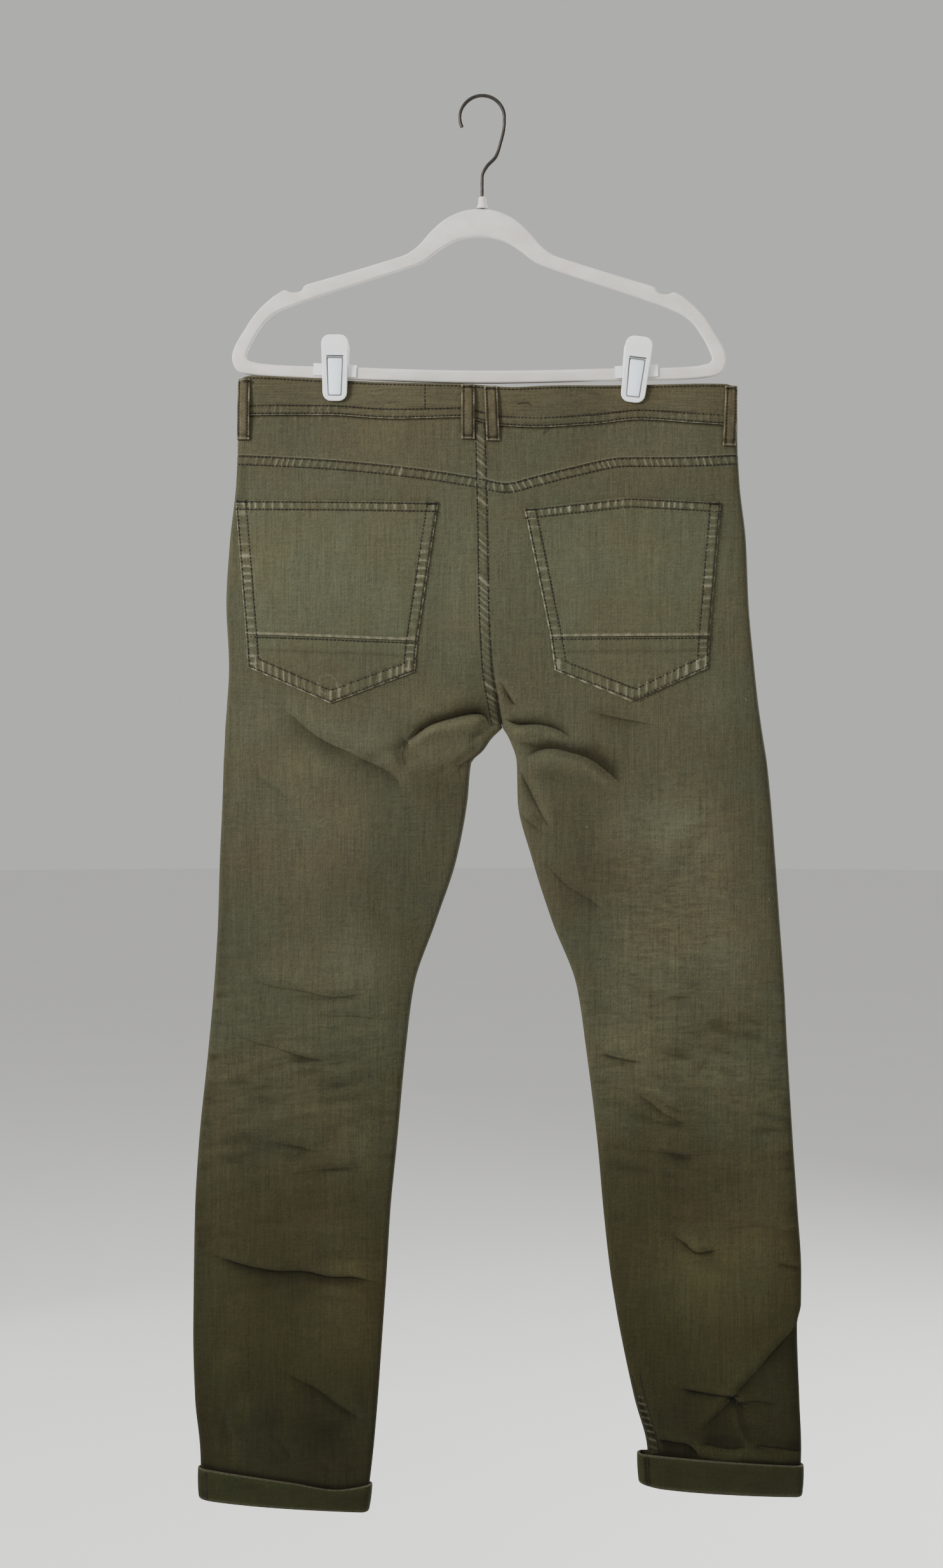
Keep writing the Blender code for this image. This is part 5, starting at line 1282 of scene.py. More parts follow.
def turnUpMesh(side):
    shares = spread(turnUp["width"], turnUp["step"])
    out, gap, wall = [], turnUp["gap"], turnUp["wall"]
    # outer face down, round the fold, a lip inside and the inner face up again: inset, height, ruffle
    profile = [(-gap - wall * 0.55, 1.0, 0.0), (-gap - wall * 0.92, 0.985, 0.0)]
    profile += [(-gap - wall - 0.6 * math.sin(math.pi * k / turnUp["rows"]), 1 - k / turnUp["rows"], 1.0)
                for k in range(1, turnUp["rows"])]
    profile += [(-gap - wall, 0.055, 1.0), (-gap - wall * 0.8, 0.02, 0.6), (-gap - wall * 0.4, 0.0, 0.2),
                (0.9, 0.0, 0.0), (1.3, 0.02, 0.0), (1.2, 0.07, 0.0), (-gap, 0.07, 0.0),
                (-gap, 0.5, 0.0), (-gap, 1.0, 0.0)]
    joinAt, joinDepth, joinWidth = turnUp["join"][side]
    marks = {"fold": [], "wear": []}
    stations = [("back", s) for s in shares[:-1]] + [("front", s) for s in shares[:0:-1]]
    for inset, share, ruffle in profile:
        ring = []
        foldMarks = []
        for face in ("back", "front"):
            these = np.array([s for f, s in stations if f == face])
            levelX, _ = hemPoint(side, face, these, turnUp["level"], 0.0)
            foot, top = reading(hems[side], "drop", levelX), reading(turnTops[side], "drop", levelX)
            drop = foot + (top - foot) * share
            seed = 110 if side == "left" else 113
            wave = 0.45 * cloudNoise(levelX, drop * (1 if face == "back" else 2), 24, 14, seed) * ruffle
            x, depth = hemPoint(side, face, these, drop, inset)
            ring.append(at(face, x, depth + wave, drop))
            # painted highlight along the turn-up's top lip and near its lower fold, and painted shade in the
            # groove of its join, with some random tone
            shade = -0.45 * hump((share - 0.9) * 12, 1.0) - 0.3 * hump((share - 0.12) * 10, 1.0)
            seam = joinDepth * hump((these - joinAt) * 150, joinWidth)
            foldMarks.append(shade + (seam + 0.35 * cloudNoise(levelX, drop, 15, 12, seed + 1)) * ruffle)
        out.append(np.concatenate(ring))
        marks["fold"].append(np.concatenate(foldMarks))
        rub = 0.3 * (0.0 < share < 0.1) + 0.45 * (share > 0.94)
        marks["wear"].append(np.full(len(out[-1]), rub))
    out = np.array(out)
    rows, columns = out.shape[:2]
    index = np.arange(rows * columns).reshape(rows, columns)
    below, beside = np.roll(index, -1, axis=0), np.roll(index, -1, axis=1)
    quads = np.stack([index, below, np.roll(below, -1, axis=1), beside], axis=-1).reshape(-1, 4)
    mesh = bpy.data.meshes.new("turnUp_" + side)
    mesh.from_pydata((out.reshape(-1, 3) * mm).tolist(), [], quads.tolist())
    settled(marked(mesh, marks), 60)
    made = finished("turnUp_" + side, mesh, reverseDenim, "denim_reverse", "turn_up_" + side)
    return made


sheets += [turnUpMesh(side) for side in ("left", "right")]
for sheet in sheets:
    print(f"  {sheet.name}: {area(sheet) / 2:.4f} m2 a side, {len(sheet.data.polygons) * 2} triangles")

print("stage: felled seams")
felled = {"step": 1.2, "columns": 10, "rise": 0.62, "swing": 0.34}


def felledStrip(face, x, drop, low, high, pitch, skew, seed, rows, wear=0.8, emerge=0.1):
    # a raised doubled seam along a line, from low to high across it, with rippled cloth between its rows
    length = wayAlong(x, drop)
    s = np.linspace(0, length[-1], max(8, round(length[-1] / felled["step"])))
    x, drop = np.interp(s, length, x), np.interp(s, length, drop)
    alongX, alongDrop = np.gradient(x, s), np.gradient(drop, s)
    c = np.linspace(low, high, felled["columns"])
    stripX = x[:, None] - alongDrop[:, None] * c
    stripDrop = drop[:, None] + alongX[:, None] * c
    raised = softStep((c - low) / 1.3) * softStep((high - c) / 1.3)
    ripple = puckers(s[:, None] + skew * c, pitch, seed)
    risen = softStep(s[:, None] / emerge)
    grooves = sum(hump(c - row, 0.75) for row in rows)
    height = -0.35 + raised * (felled["rise"] + felled["swing"] * ripple) - 0.25 * grooves
    height = height * risen - 1.6 * (1 - risen)
    base = bodyDepth(face, stripX, stripDrop, 0.0)
    up = np.clip(ripple, 0, 1)
    # fold paints shade into the stitch grooves and pucker troughs, with the folds' painted shade and
    # highlight
    fold = 0.9 * grooves + raised * np.clip(-ripple, 0, 1) * 0.5 + foldShade(face, stripX, stripDrop)
    return {"outer": at(face, stripX, base + height, stripDrop),
            "inner": at(face, stripX, base + height - 1.0, stripDrop),
            "wear": np.clip(raised * up**1.5 * wear * risen * 0.62, 0, 1),
            "fold": np.clip(fold, -1, 1), "tone": toneAt(stripX, stripDrop)}


def yokeLine(side):
    centre = float(reading(seat, "centre", 345.0))
    if side == "left":
        x = np.linspace(float(outseam("left", 325.0)) + 2.5, centre - 0.2, 160)
    else:
        x = np.linspace(centre + 0.2, float(outseam("right", 325.0)) - 2.5, 160)
    return x, reading(yokeSeam, "drop", x)


def centreLine(start, end):
    drop = np.linspace(start, end, 160)
    return reading(seat, "centre", drop), drop


def inseamLine(side, start, end, inset):
    drop = np.linspace(start, end, 300)
    return innerSeam(side, drop) - inwards[side] * inset, drop


bandFootBack = float(reading(bandSeam["back"], "drop", 3.0))
bandFootFront = float(reading(bandSeam["front"], "drop", 3.0))
strips = [
    felledStrip("back", *yokeLine("left"), -0.7, 9.8, 6.4, 0.25, 201, (0.9, 8.2)),
    felledStrip("back", *yokeLine("right"), -0.7, 9.8, 6.4, -0.25, 205, (0.9, 8.2)),
    felledStrip("back", *centreLine(bandFootBack + 0.5, 563.0), -0.9, 11.0, 6.8, 0.9, 209, (1.2, 9.6), 0.95),
    felledStrip("front", *centreLine(bandFootFront + 130, 562.0), -0.9, 9.0, 6.8, 0.9, 213, (1.2, 8.0)),
    felledStrip("back", *inseamLine("right", 1148.0, 1217.0, 0.6), -9.6, -0.2, 6.0, 0.5, 217, (-8.4, -1.6),
                1.0, 26.0),
    felledStrip("front", *inseamLine("left", 600.0, 1226.0, 1.0), -0.2, 9.4, 6.6, 0.5, 221, (1.4, 8.0)),
    felledStrip("front", *inseamLine("right", 600.0, 1212.0, 1.0), -9.4, 0.2, 6.6, 0.5, 225, (-8.0, -1.4)),
]
felledSeams = finished("felledSeams", wallMesh("felledSeams", *strips), denimCloth, "denim")

print("stage: stitches")
stitching = {"pitch": 3.4, "length": 2.9, "radius": 0.58, "lift": 0.12}


def stitchTree():
    tree = bpy.data.node_groups.new("stitchRows", "GeometryNodeTree")
    keys = {}
    for name, kind, way, value in (
        ("Rows", "NodeSocketGeometry", "INPUT", None),
        ("Pitch", "NodeSocketFloat", "INPUT", stitching["pitch"] * mm),
        ("Length", "NodeSocketFloat", "INPUT", stitching["length"] * mm),
        ("Radius", "NodeSocketFloat", "INPUT", stitching["radius"] * mm),
        ("Seed", "NodeSocketInt", "INPUT", 3),
        ("Thread", "NodeSocketMaterial", "INPUT", None),
        ("Stitches", "NodeSocketGeometry", "OUTPUT", None),
    ):
        item = tree.interface.new_socket(name, in_out=way, socket_type=kind)
        if value is not None:
            item.default_value = value
        keys[name] = item.identifier

    def add(kind, values=None, **settings):
        node = tree.nodes.new(kind)
        for key, value in settings.items():
            setattr(node, key, value)
        for key, value in (values or {}).items():
            node.inputs[key].default_value = value
        return node

    inputs, output = add("NodeGroupInput"), add("NodeGroupOutput")
    curve = add("GeometryNodeMeshToCurve")
    points = add("GeometryNodeCurveToPoints", mode="LENGTH")
    tilt = add("FunctionNodeRandomValue", {0: (-0.12,) * 3, 1: (0.12,) * 3}, data_type="FLOAT_VECTOR")
    lean = add("ShaderNodeVectorMath", operation="ADD")
    turn = add("FunctionNodeAlignRotationToVector", axis="X")
    bead = add("GeometryNodeMeshUVSphere", {"Segments": 6, "Rings": 4, "Radius": 1.0})
    half = add("ShaderNodeMath", {1: 0.5}, operation="MULTIPLY")
    size = add("ShaderNodeCombineXYZ")
    shaped = add("GeometryNodeTransform")
    vary = add("FunctionNodeRandomValue", {2: 0.88, 3: 1.12}, data_type="FLOAT")
    placed = add("GeometryNodeInstanceOnPoints")
    real = add("GeometryNodeRealizeInstances")
    smooth = add("GeometryNodeSetShadeSmooth")
    paint = add("GeometryNodeSetMaterial")
    for source, socket, target, into in (
        (inputs, "Rows", curve, "Mesh"),
        (curve, "Curve", points, "Curve"),
        (inputs, "Pitch", points, "Length"),
        (inputs, "Seed", tilt, "Seed"),
        (points, "Tangent", lean, 0),
        (tilt, 0, lean, 1),
        (lean, 0, turn, "Vector"),
        (inputs, "Length", half, 0),
        (half, 0, size, "X"),
        (inputs, "Radius", size, "Y"),
        (inputs, "Radius", size, "Z"),
        (bead, "Mesh", shaped, "Geometry"),
        (size, 0, shaped, "Scale"),
        (inputs, "Seed", vary, "Seed"),
        (points, "Points", placed, "Points"),
        (shaped, "Geometry", placed, "Instance"),
        (turn, "Rotation", placed, "Rotation"),
        (vary, 1, placed, "Scale"),
        (placed, "Instances", real, "Geometry"),
        (real, "Geometry", smooth, "Geometry"),
        (smooth, "Geometry", paint, "Geometry"),
        (inputs, "Thread", paint, "Material"),
        (paint, "Geometry", output, "Stitches"),
    ):
        tree.links.new(source.outputs[socket], target.inputs[into])
    return tree, keys


stitchRows, stitchKeys = stitchTree()


def sewn(name, lines, seed, **changes):
    # rows of stitches along lines of points
    points, edges = [], []
    for line in lines:
        start = len(points)
        points += (np.asarray(line) * mm).tolist()
        edges += [(i, i + 1) for i in range(start, len(points) - 1)]
    mesh = bpy.data.meshes.new(name + "_rows")
    mesh.from_pydata(points, edges, [])
    values = {"Seed": seed, "Thread": darkThread, **{key: value * mm for key, value in changes.items()}}
    inputs = {stitchKeys[key]: value for key, value in values.items()}
    return finished(name, evaluatedMesh(name, mesh, stitchRows, inputs), darkThread, "denim")


def clothLine(face, x, drop, lift):
    return at(face, x, bodyDepth(face, x, drop, 0.0) + lift, drop)


def besideLine(face, x, drop, offset, lift):
    # a line moved sideways by an offset, as the felled strips are
    x, drop = np.asarray(x, float), np.asarray(drop, float)
    length = wayAlong(x, drop)
    alongX, alongDrop = np.gradient(x, length), np.gradient(drop, length)
    return clothLine(face, x - alongDrop * offset, drop + alongX * offset, lift)


seamLift = 0.2 + stitching["lift"]


def rowsBeside(face, line, rows):
    return [besideLine(face, *line, row, seamLift) for row in rows]


sewn("yokeStitches",
     rowsBeside("back", yokeLine("left"), (0.9, 8.2))
     + rowsBeside("back", yokeLine("right"), (0.9, 8.2)), 1)  # fmt: skip
sewn("centreSeamStitches",
     rowsBeside("back", centreLine(bandFootBack + 1, 562.0), (1.2, 9.6))
     + rowsBeside("front", centreLine(bandFootFront + 130, 561.0), (1.2, 8.0)), 2)  # fmt: skip
sewn("inseamStitches",
     rowsBeside("back", inseamLine("right", 1149.0, 1216.0, 0.6), (-8.4, -1.6))
     + rowsBeside("front", inseamLine("left", 601.0, 1225.0, 1.0), (1.4, 8.0))
     + rowsBeside("front", inseamLine("right", 601.0, 1211.0, 1.0), (-8.0, -1.4)), 3)  # fmt: skip


def bandLines():
    lines = []
    lift = body["bandProud"] - 0.1 + stitching["lift"]
    left, right = (float(outseam(side, band["level"])) for side in ("left", "right"))
    for face in ("back", "front"):
        x = np.linspace(left + 1.2, right - 1.2, 300)
        top, seam = reading(bandTop[face], "drop", x), reading(bandSeam[face], "drop", x)
        for drop in (top + band["rowsFromTop"], *(seam - row for row in band["rowsFromFoot"])):
            depth = seatDepth(face, x, drop, 0.0) + lift
            if face == "front":
                shift = np.where(x < body["bandLap"] - 1.5, (body["bandWall"] + 0.3) * lapShare(x), 0.0)
                keep = (x < body["bandLap"] - 1.5) | (x > body["bandLap"] + 0.5)
                parts = np.split(np.arange(len(x)), np.where(~keep)[0])
                for part in (p[keep[p]] for p in parts):
                    if len(part) > 2:
                        lines.append(at(face, x[part], (depth + shift)[part], drop[part]))
            else:
                lines.append(at(face, x, depth, drop))
    drop = np.linspace(260.5, 281, 14)  # the join of the band's two lengths
    lines.append(at("back", -51.4 + 0 * drop, seatDepth("back", -51.4 + 0 * drop, drop, 0.0) + lift, drop))
    drop = np.linspace(262, 288, 14)
    end = body["bandLap"] - 2.2 + 0 * drop
    lines.append(at("front", end, seatDepth("front", end, drop, 0.0) + lift + body["bandWall"] + 0.3, drop))
    return lines


sewn("waistbandStitches", bandLines(), 4)


def pocketLine(points, lift=2.0):
    pairs = list(zip(points, points[1:]))
    x, drop = (np.concatenate([np.linspace(a[i], b[i], 40) for a, b in pairs]) for i in (0, 1))
    keep = np.concatenate([[True], np.hypot(np.diff(x), np.diff(drop)) > 1e-6])
    return clothLine("back", x[keep], drop[keep], lift)


def pocketLines(side):
    pocket, sewing = pockets[side], pocketSewing
    toward = inwards[side]
    (ax, ad), (mx, md), (bx, bd) = pocket["top"]
    (cx, cd), (ex, ed) = pocket["cross"]
    (fx, fd), (px, pd), (gx, gd) = pocket["low"]
    lines = []
    for k in (0, 1):
        down, aside, up = sewing["top"][k], sewing["side"][k], sewing["foot"][k]
        lines.append(pocketLine([
            (ax + toward * 1.5, ad + down), (mx, md + down), (bx - toward * 1.5, bd + down)]))
        lines.append(pocketLine([
            (ax + toward * aside, ad + 1), (cx + toward * aside, cd),
            (fx + toward * aside, fd - up + aside * 0.42),
            (px, pd - up), (gx - toward * aside, gd - up + aside * 0.42), (ex - toward * aside, ed),
            (bx - toward * aside, bd + 1)]))  # fmt: skip
    lines.append(pocketLine([(cx + toward * 1.5, cd + 2.2), (ex - toward * 1.5, ed + 2.2)]))
    return lines


sewn("pocketStitches", pocketLines("left") + pocketLines("right"), 5)


def loopLines():
    lines = []
    size = loops["size"]
    rest = body["bandProud"] + body["patchGap"]
    for place in loops["places"].values():
        for side in (-1, 1):
            aside = np.array([side * (size["width"] / 2 - size["inset"])])
            line = []
            for down in np.linspace(0.06, 0.94, 16):
                stand = size["bulge"] * math.sin(math.pi * down)
                line.append(loopPoints(place, down, aside, -rest - size["wall"] - stand - 0.02))
            lines.append(np.concatenate(line))
    return lines


sewn("loopStitches", loopLines(), 6, Pitch=3.0, Length=2.5, Radius=0.5)


def frontLines():
    lines = []
    for side in ("left", "right"):
        inward = inwards[side]
        for row in (1.8, 8.4):
            x = outseam(side, 340.0) + inward * np.linspace(2.0, scoop["width"] * 0.985, 90)
            drop = scoopDrop(side, x)
            slope = np.gradient(drop, x)
            size = np.hypot(slope, 1)
            moved, lower = x + slope / size * row, drop + row / size
            seam = outseam(side, lower)
            moved = np.maximum(moved, seam + 2) if inward > 0 else np.minimum(moved, seam - 2)
            lines.append(clothLine("front", moved, lower, 0.12 + stitching["lift"]))
    bandFoot = float(reading(bandSeam["front"], "drop", 0.0))
    for row in (1.6, 7.6):
        down = np.linspace(0.02, 0.98, 80)
        seam = innerSeam("left", bandFoot + flyShape["length"] * down) - 0.3
        x = seam - np.maximum(flyWidth(down) - row, 0.8)
        drop = bandFoot + 0.6 + (flyShape["length"] - row * 0.6) * down
        lines.append(at("front", x, np.maximum(clothDepth("left", "front", x, drop, 0.0), 0.15) + 1.95, drop))
    return lines


sewn("frontStitches", frontLines(), 7)

print("stage: bartacks and loose threads")
threads = {"radius": 0.32, "tackWidth": 2.0, "tackPitch": 0.62}


def tube(name, lines, radius, material, resolution=1, slot="denim", replaced=()):
    data = bpy.data.curves.new(name, "CURVE")
    data.dimensions = "3D"
    data.bevel_depth = radius * mm
    data.bevel_resolution = resolution
    data.use_fill_caps = True
    for line in lines:
        spline = data.splines.new("POLY")
        spline.points.add(len(line) - 1)
        for point, place in zip(spline.points, line):
            point.co = (*(float(v) * mm for v in place), 1)
    mesh = evaluatedMesh(name, data)
    mesh.shade_smooth()
    return finished(name, mesh, material, slot, *replaced)


def bartack(face, x0, drop0, x1, drop1, lift):
    length = math.hypot(x1 - x0, drop1 - drop0)
    count = max(6, round(length / threads["tackPitch"]))
    t = np.linspace(0, 1, count)
    aside = np.where(np.arange(count) % 2 == 0, 0.5, -0.5) * threads["tackWidth"]
    nx, nd = -(drop1 - drop0) / length, (x1 - x0) / length
    x, drop = x0 + (x1 - x0) * t + nx * aside, drop0 + (drop1 - drop0) * t + nd * aside
    return clothLine(face, x, drop, lift)


tacks = []
for side, pocket in pockets.items():
    toward = inwards[side]
    (ax, ad), _, (bx, bd) = pocket["top"]
    tacks.append(bartack("back", ax + toward * 2, ad + 1.5, ax + toward * 11, ad + 2.0, 2.2))
    tacks.append(bartack("back", bx - toward * 2, bd + 1.5, bx - toward * 11, bd + 1.6, 2.2))
for face, xTop, xLow, top, low in loops["places"].values():
    half = 4.6
    for x, drop, lift in ((xTop, top + 2.2, 2.7), (xLow, low - 2.6, 2.6)):
        x = max(float(outseam("left", drop)) + half + 1.5, min(float(outseam("right", drop)) - half - 1.5, x))
        tacks.append(bartack(face, x - half, drop, x + half, drop, lift))
for side in ("left", "right"):
    x = float(outseam(side, 366.0)) + 5 * inwards[side]
    tacks.append(bartack("front", x, 362.0, x + 7 * inwards[side], 362.5, 0.6))
tacks.append(bartack("front", -6.0, 415.0, 2.5, 420.0, 2.2))
tube("bartacks", tacks, 1.35 * threads["radius"], darkThread, 0)


def turnUpZigzag(side, first, last, rows):
    # overlocking over the seam that shows at the end of a turn-up
    line = []
    for k in range(rows + 1):
        share = first if k % 2 == 0 else last
        levelX, _ = hemPoint(side, "back", share, turnUp["level"], 0.0)
        foot, top = reading(hems[side], "drop", levelX), reading(turnTops[side], "drop", levelX)
        drop = top + (foot - top) * (0.08 + 0.84 * k / rows)
        x, depth = hemPoint(side, "back", share, drop, -turnUp["gap"] - turnUp["wall"])
        line.append((float(x), -float(depth) - 0.55, -float(drop)))
    return np.array(line)


tube("turnUpOverlock", [turnUpZigzag("left", 0.008, 0.052, 17), turnUpZigzag("left", 0.052, 0.056, 9),
                        turnUpZigzag("right", 0.944, 0.947, 9), turnUpZigzag("right", 0.992, 0.96, 13)],
     0.55, darkThread, 0)


def wisp(face, points, lift):
    points = np.array(points, float)
    t = np.linspace(0, len(points) - 1, 24)
    x, drop = (np.interp(t, range(len(points)), points[:, i]) for i in (0, 1))
    x = x + 0.5 * np.sin(t * 2.6)
    depth = np.maximum(seatDepth(face, x, drop, 0.0), 0.2) + lift + 0.5 * np.sin(t * 1.7) ** 2
    return at(face, x, depth, drop)


loose = [
    wisp("back", ((31.4, 277.5), (36, 276.3), (41, 276.6), (43, 279)), 0.9),
    wisp("back", ((55.8, 296.0), (56.6, 299.5), (55.2, 304.0)), 0.9),
    wisp("back", ((18.0, 349.5), (19.6, 353.6), (18.4, 358.0)), 1.4),
]
tube("looseThreads", loose, 0.28, darkThread)
lintEnds = ((235.2, 540.0, 236.6, 542.4), (256.2, 719.0, 257.4, 721.6), (92.2, 655.0, 94.0, 655.6))
lint = [clothLine("back", np.linspace(x0, x1, 6), np.linspace(drop0, drop1, 6), 0.25)
        for x0, drop0, x1, drop1 in lintEnds]  # fmt: skip
tube("lint", lint, 0.3, paleThread)

print("stage: hanger")
hanger = {"thickness": 5.8, "rounding": 1.9, "centre": -1.5, "tilt": math.radians(0.3), "steps": 5}
outerHalf = table(
    "x drop",
    (0, 100.8), (13, 102), (29, 108.5), (43, 120), (55.5, 134), (66, 141.5), (80, 146.5), (140, 164.8),
    (154, 168.9), (157.5, 170.6), (159.5, 174.2), (163.5, 176.2), (170.5, 176.0), (174.5, 174.4),
    (181, 177.4),
    (192, 186), (203, 198), (212, 212), (219.5, 225),
    (222, 235.5), (218, 246), (208, 250.2), (110, 254.4), (0, 257.2),
)  # fmt: skip
innerHalf = table(
    "x drop",
    (0, 125.8), (20, 128.8), (36, 137.5), (48, 146.8), (57, 151.2), (177, 192), (190, 200.5), (200, 214),
    (207.5, 228.5), (209, 234.5), (205, 238.6), (110, 243.4), (0, 245.8),
)  # fmt: skip


def softLine(points, steps, closed):
    # a smooth line through points that are unevenly spaced
    count, line = len(points), []
    for i in range(count if closed else count - 1):
        p1, p2 = points[i], points[(i + 1) % count]
        p0 = points[i - 1] if closed or i > 0 else p1 - (p2 - p1)
        p3 = points[(i + 2) % count] if closed or i + 2 < count else p2 + (p2 - p1)
        a, b, c = (math.sqrt((q - p).length) for p, q in ((p0, p1), (p1, p2), (p2, p3)))
        m1 = (p2 - p1) + b * ((p1 - p0) / a - (p2 - p0) / (a + b))
        m2 = (p2 - p1) + b * ((p3 - p2) / c - (p3 - p1) / (b + c))
        for k in range(steps + 1):
            t = k / (steps + 1)
            line.append(p1 * (1 + 2 * t) * (1 - t) ** 2 + m1 * t * (1 - t) ** 2
                        + p2 * t * t * (3 - 2 * t) + m2 * t * t * (t - 1))
    return line if closed else [*line, points[-1]]


def wholeOutline(half):
    there = [Vector((x, -drop)) for x, drop in zip(half["x"], half["drop"])]
    return softLine(there + [Vector((-p.x, p.y)) for p in reversed(there[1:-1])], hanger["steps"], True)


def plate(name, outlines, thickness, rounding, matrix, bevel=3):
    data = bpy.data.curves.new(name, "CURVE")
    data.dimensions, data.fill_mode = "2D", "BOTH"
    data.extrude = (thickness / 2 - rounding) * mm
    data.bevel_depth, data.bevel_resolution, data.offset = rounding * mm, bevel, -rounding * mm
    for outline in outlines:
        spline = data.splines.new("POLY")
        spline.points.add(len(outline) - 1)
        for point, place in zip(spline.points, outline):
            point.co = (place[0] * mm, place[1] * mm, 0, 1)
        spline.use_cyclic_u = True
    return settled(evaluatedMesh(name, data), 50, matrix @ Matrix.Rotation(math.radians(90), 4, "X"))


def spot(x, y, drop):
    return Vector((x, y, -drop)) * mm


frameMatrix = Matrix.Translation(spot(hanger["centre"], 0, 0)) @ Matrix.Rotation(hanger["tilt"], 4, "Y")
hangerMesh = plate("flockedFrame", (wholeOutline(outerHalf), wholeOutline(innerHalf)), hanger["thickness"],
                   hanger["rounding"], frameMatrix, 3)
finished("flockedFrame", hangerMesh, flockSkin, "flock", "hanger_frame")

hook = {"wire": 1.6, "radius": 20.0, "tip": 205.0, "steps": 56, "foot": 99.8,
        "neck": ((19.8, 27), (17.2, 38.8), (12.4, 53), (4.4, 61.8), (0.6, 69), (0, 76))}  # fmt: skip
route = []
for i in range(hook["steps"] + 1):
    angle = math.radians(hook["tip"] * (1 - i / hook["steps"]))
    route.append(Vector((hook["radius"] * math.cos(angle), 0,
                         hook["wire"] - hook["radius"] + hook["radius"] * math.sin(angle))))
route += softLine([route[-1], *(Vector((x, 0, -drop)) for x, drop in hook["neck"])], 6, False)[1:]
route.append(Vector((0, 0, -hook["foot"])))
tube("hookWire", [route], hook["wire"], hookSteel, 5, "hook_wire", ("hanger_hook",))

clipShape = {"height": 58.6, "wall": 2.6, "grip": 3.25, "lean": math.radians(4.9), "recessTop": 19.5,
             "recessHeight": 35.0, "recessDepths": (1.3, 0.25)}  # fmt: skip


def clipMatrix(clip, face):
    stand = Matrix.Translation(Vector((0, -(clipShape["grip"] + clipShape["wall"] / 2), 0)) * mm)
    half = Matrix.Rotation(math.pi, 4, "Z") if face == "front" else Matrix.Identity(4)
    foot = Matrix.Translation(spot(clip["x"], 0, clip["foot"])) @ Matrix.Rotation(clip["lean"], 4, "Y")
    return foot @ half @ stand @ Matrix.Rotation(clipShape["lean"], 4, "X")


def trapezoid(topWidth, lowWidth, low, high, corner):
    centres = ((-lowWidth / 2 + corner, low + corner, 180), (lowWidth / 2 - corner, low + corner, 270),
               (topWidth / 2 - corner, high - corner, 0), (-topWidth / 2 + corner, high - corner, 90))
    outline = []
    for x, z, start in centres:
        for k in range(7):
            angle = math.radians(start + 15 * k)
            outline.append(Vector((x + corner * math.cos(angle), z + corner * math.sin(angle))))
    return outline


def clipDetail(name, outline, thickness, rounding, matrix, material):
    mesh = plate(name, (outline,), thickness, rounding, matrix, 1)
    return finished(name, mesh, material, "clip_plastic")


def clipDetails(name, matrix):
    half, (deep, shallow) = clipShape["recessHeight"] / 2, clipShape["recessDepths"]
    top = clipShape["height"] - clipShape["recessTop"]
    low = top - clipShape["recessHeight"]
    outer = -clipShape["wall"] / 2
    slope = math.atan2(deep - shallow, clipShape["recessHeight"])
    middle = Vector((0, outer + (deep + shallow) / 2 - 0.15, (top + low) / 2))
    recess = matrix @ (Matrix.Translation(middle * mm) @ Matrix.Rotation(-slope, 4, "X"))
    inset = trapezoid(12.6, 10.4, 1.4 - half, half - 1.4, 1.2)
    clipDetail("clipInset_" + name, inset, 0.7, 0.2, recess, insetPlastic)
    # a dark plate under the inset, slightly larger, paints the shadow in the gap round it
    rim = trapezoid(14.9, 12.5, 0.3 - half, half - 0.3, 1.5)
    lower = Matrix.Translation(Vector((0, 0.25, 0)) * mm)
    clipDetail("clipGroove_" + name, rim, 0.5, 0.1, recess @ lower, grooveShadow)
    # a dark plate at the top of the recess paints its shadow
    slot = trapezoid(15.2, 15.2, top + 0.1, top + 1.3, 0.3)
    upper = Matrix.Translation(Vector((0, outer - 0.05, 0)) * mm)
    clipDetail("clipSlot_" + name, slot, 0.5, 0.1, matrix @ upper, slotShadow)


for name, clip in clips.items():
    for face in ("back", "front"):
        clipDetails(f"{name}_{face}", clipMatrix(clip, face))

for name, node in nodes.items():
    if name.startswith("clip_"):
        look = hookSteel if name.endswith("spring") else clipPlastic
    elif name == "waist_button":
        look = brass
    elif name == "hook_collar":
        look = flockSkin
    else:
        continue
    node.data.materials.clear()
    node.data.materials.append(look)
    node.data.polygons.foreach_set("material_index", [0] * len(node.data.polygons))

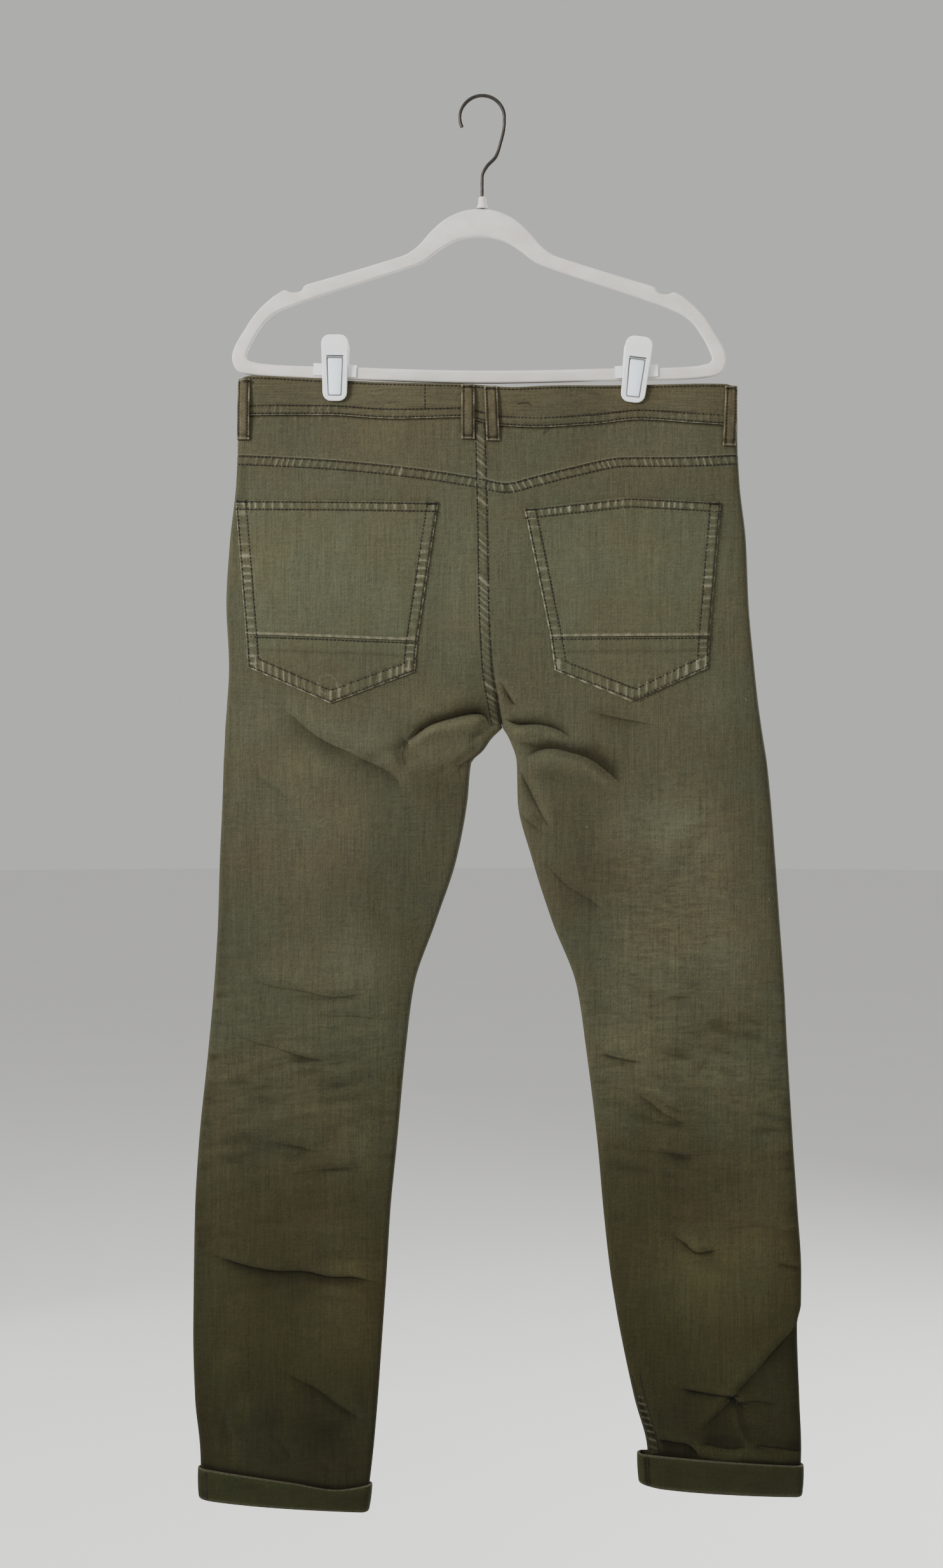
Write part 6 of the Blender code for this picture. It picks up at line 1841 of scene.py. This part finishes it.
print("stage: floor, light and camera")
studio = {"floor": -1.78, "floorSize": 26.0, "distance": 1.8, "frameHeight": 1.409, "centre": (-9.7, 617.0)}


def floorMaterial():
    look = Look("paleFloor", Roughness=0.9)
    soft = look.noise(look.coordinates(), (400, 400, 400), 1.0, 2.0, 0.5)
    return look.feed(Base_Color=look.mix(soft, (0.88, 0.875, 0.86), (0.91, 0.905, 0.89)))


floorMesh = bpy.data.meshes.new("floor")
reach = studio["floorSize"]
corners = [(reach * math.cos(angle), reach * math.sin(angle), studio["floor"])
           for angle in np.linspace(0, 2 * np.pi, 64, False)]  # fmt: skip
floorMesh.from_pydata(corners, [], [list(range(64))])
floorMesh.materials.append(floorMaterial())
floor = bpy.data.objects.new("floor", floorMesh)
bpy.context.scene.collection.objects.link(floor)

world = bpy.data.worlds.new("studio")
bpy.context.scene.world = world
world.use_nodes = True
world.node_tree.nodes["Background"].inputs[0].default_value = (0.90, 0.90, 0.88, 1)
world.node_tree.nodes["Background"].inputs[1].default_value = 0.60

lamps = {
    "key": ((-2.3, -1.7, 0.55), 0.8, 150),
    "fill": ((1.6, -2.4, -0.6), 1.8, 8),
    "topLight": ((0.1, -0.5, 1.3), 1.2, 14),
    "backKey": ((2.2, 1.8, 0.5), 0.9, 130),
    "backFill": ((-1.6, 2.3, -0.6), 1.8, 8),
}
for name, (place, size, power) in lamps.items():
    data = bpy.data.lights.new(name, "AREA")
    data.size, data.energy = size, power
    lamp = bpy.data.objects.new(name, data)
    lamp.location = place
    lamp.rotation_euler = (Vector((0, 0, -0.6)) - Vector(place)).to_track_quat("-Z", "Y").to_euler()
    bpy.context.scene.collection.objects.link(lamp)

cameraData = bpy.data.cameras.new("camera")
cameraData.sensor_fit = "AUTO"
cameraData.sensor_width = 36.0
cameraData.lens = 36.0 * studio["distance"] / studio["frameHeight"]
camera = bpy.data.objects.new("camera", cameraData)
camera.location = (studio["centre"][0] * mm, -studio["distance"], -studio["centre"][1] * mm)
camera.rotation_euler = (math.radians(90), 0, 0)
bpy.context.scene.collection.objects.link(camera)
bpy.context.scene.camera = camera
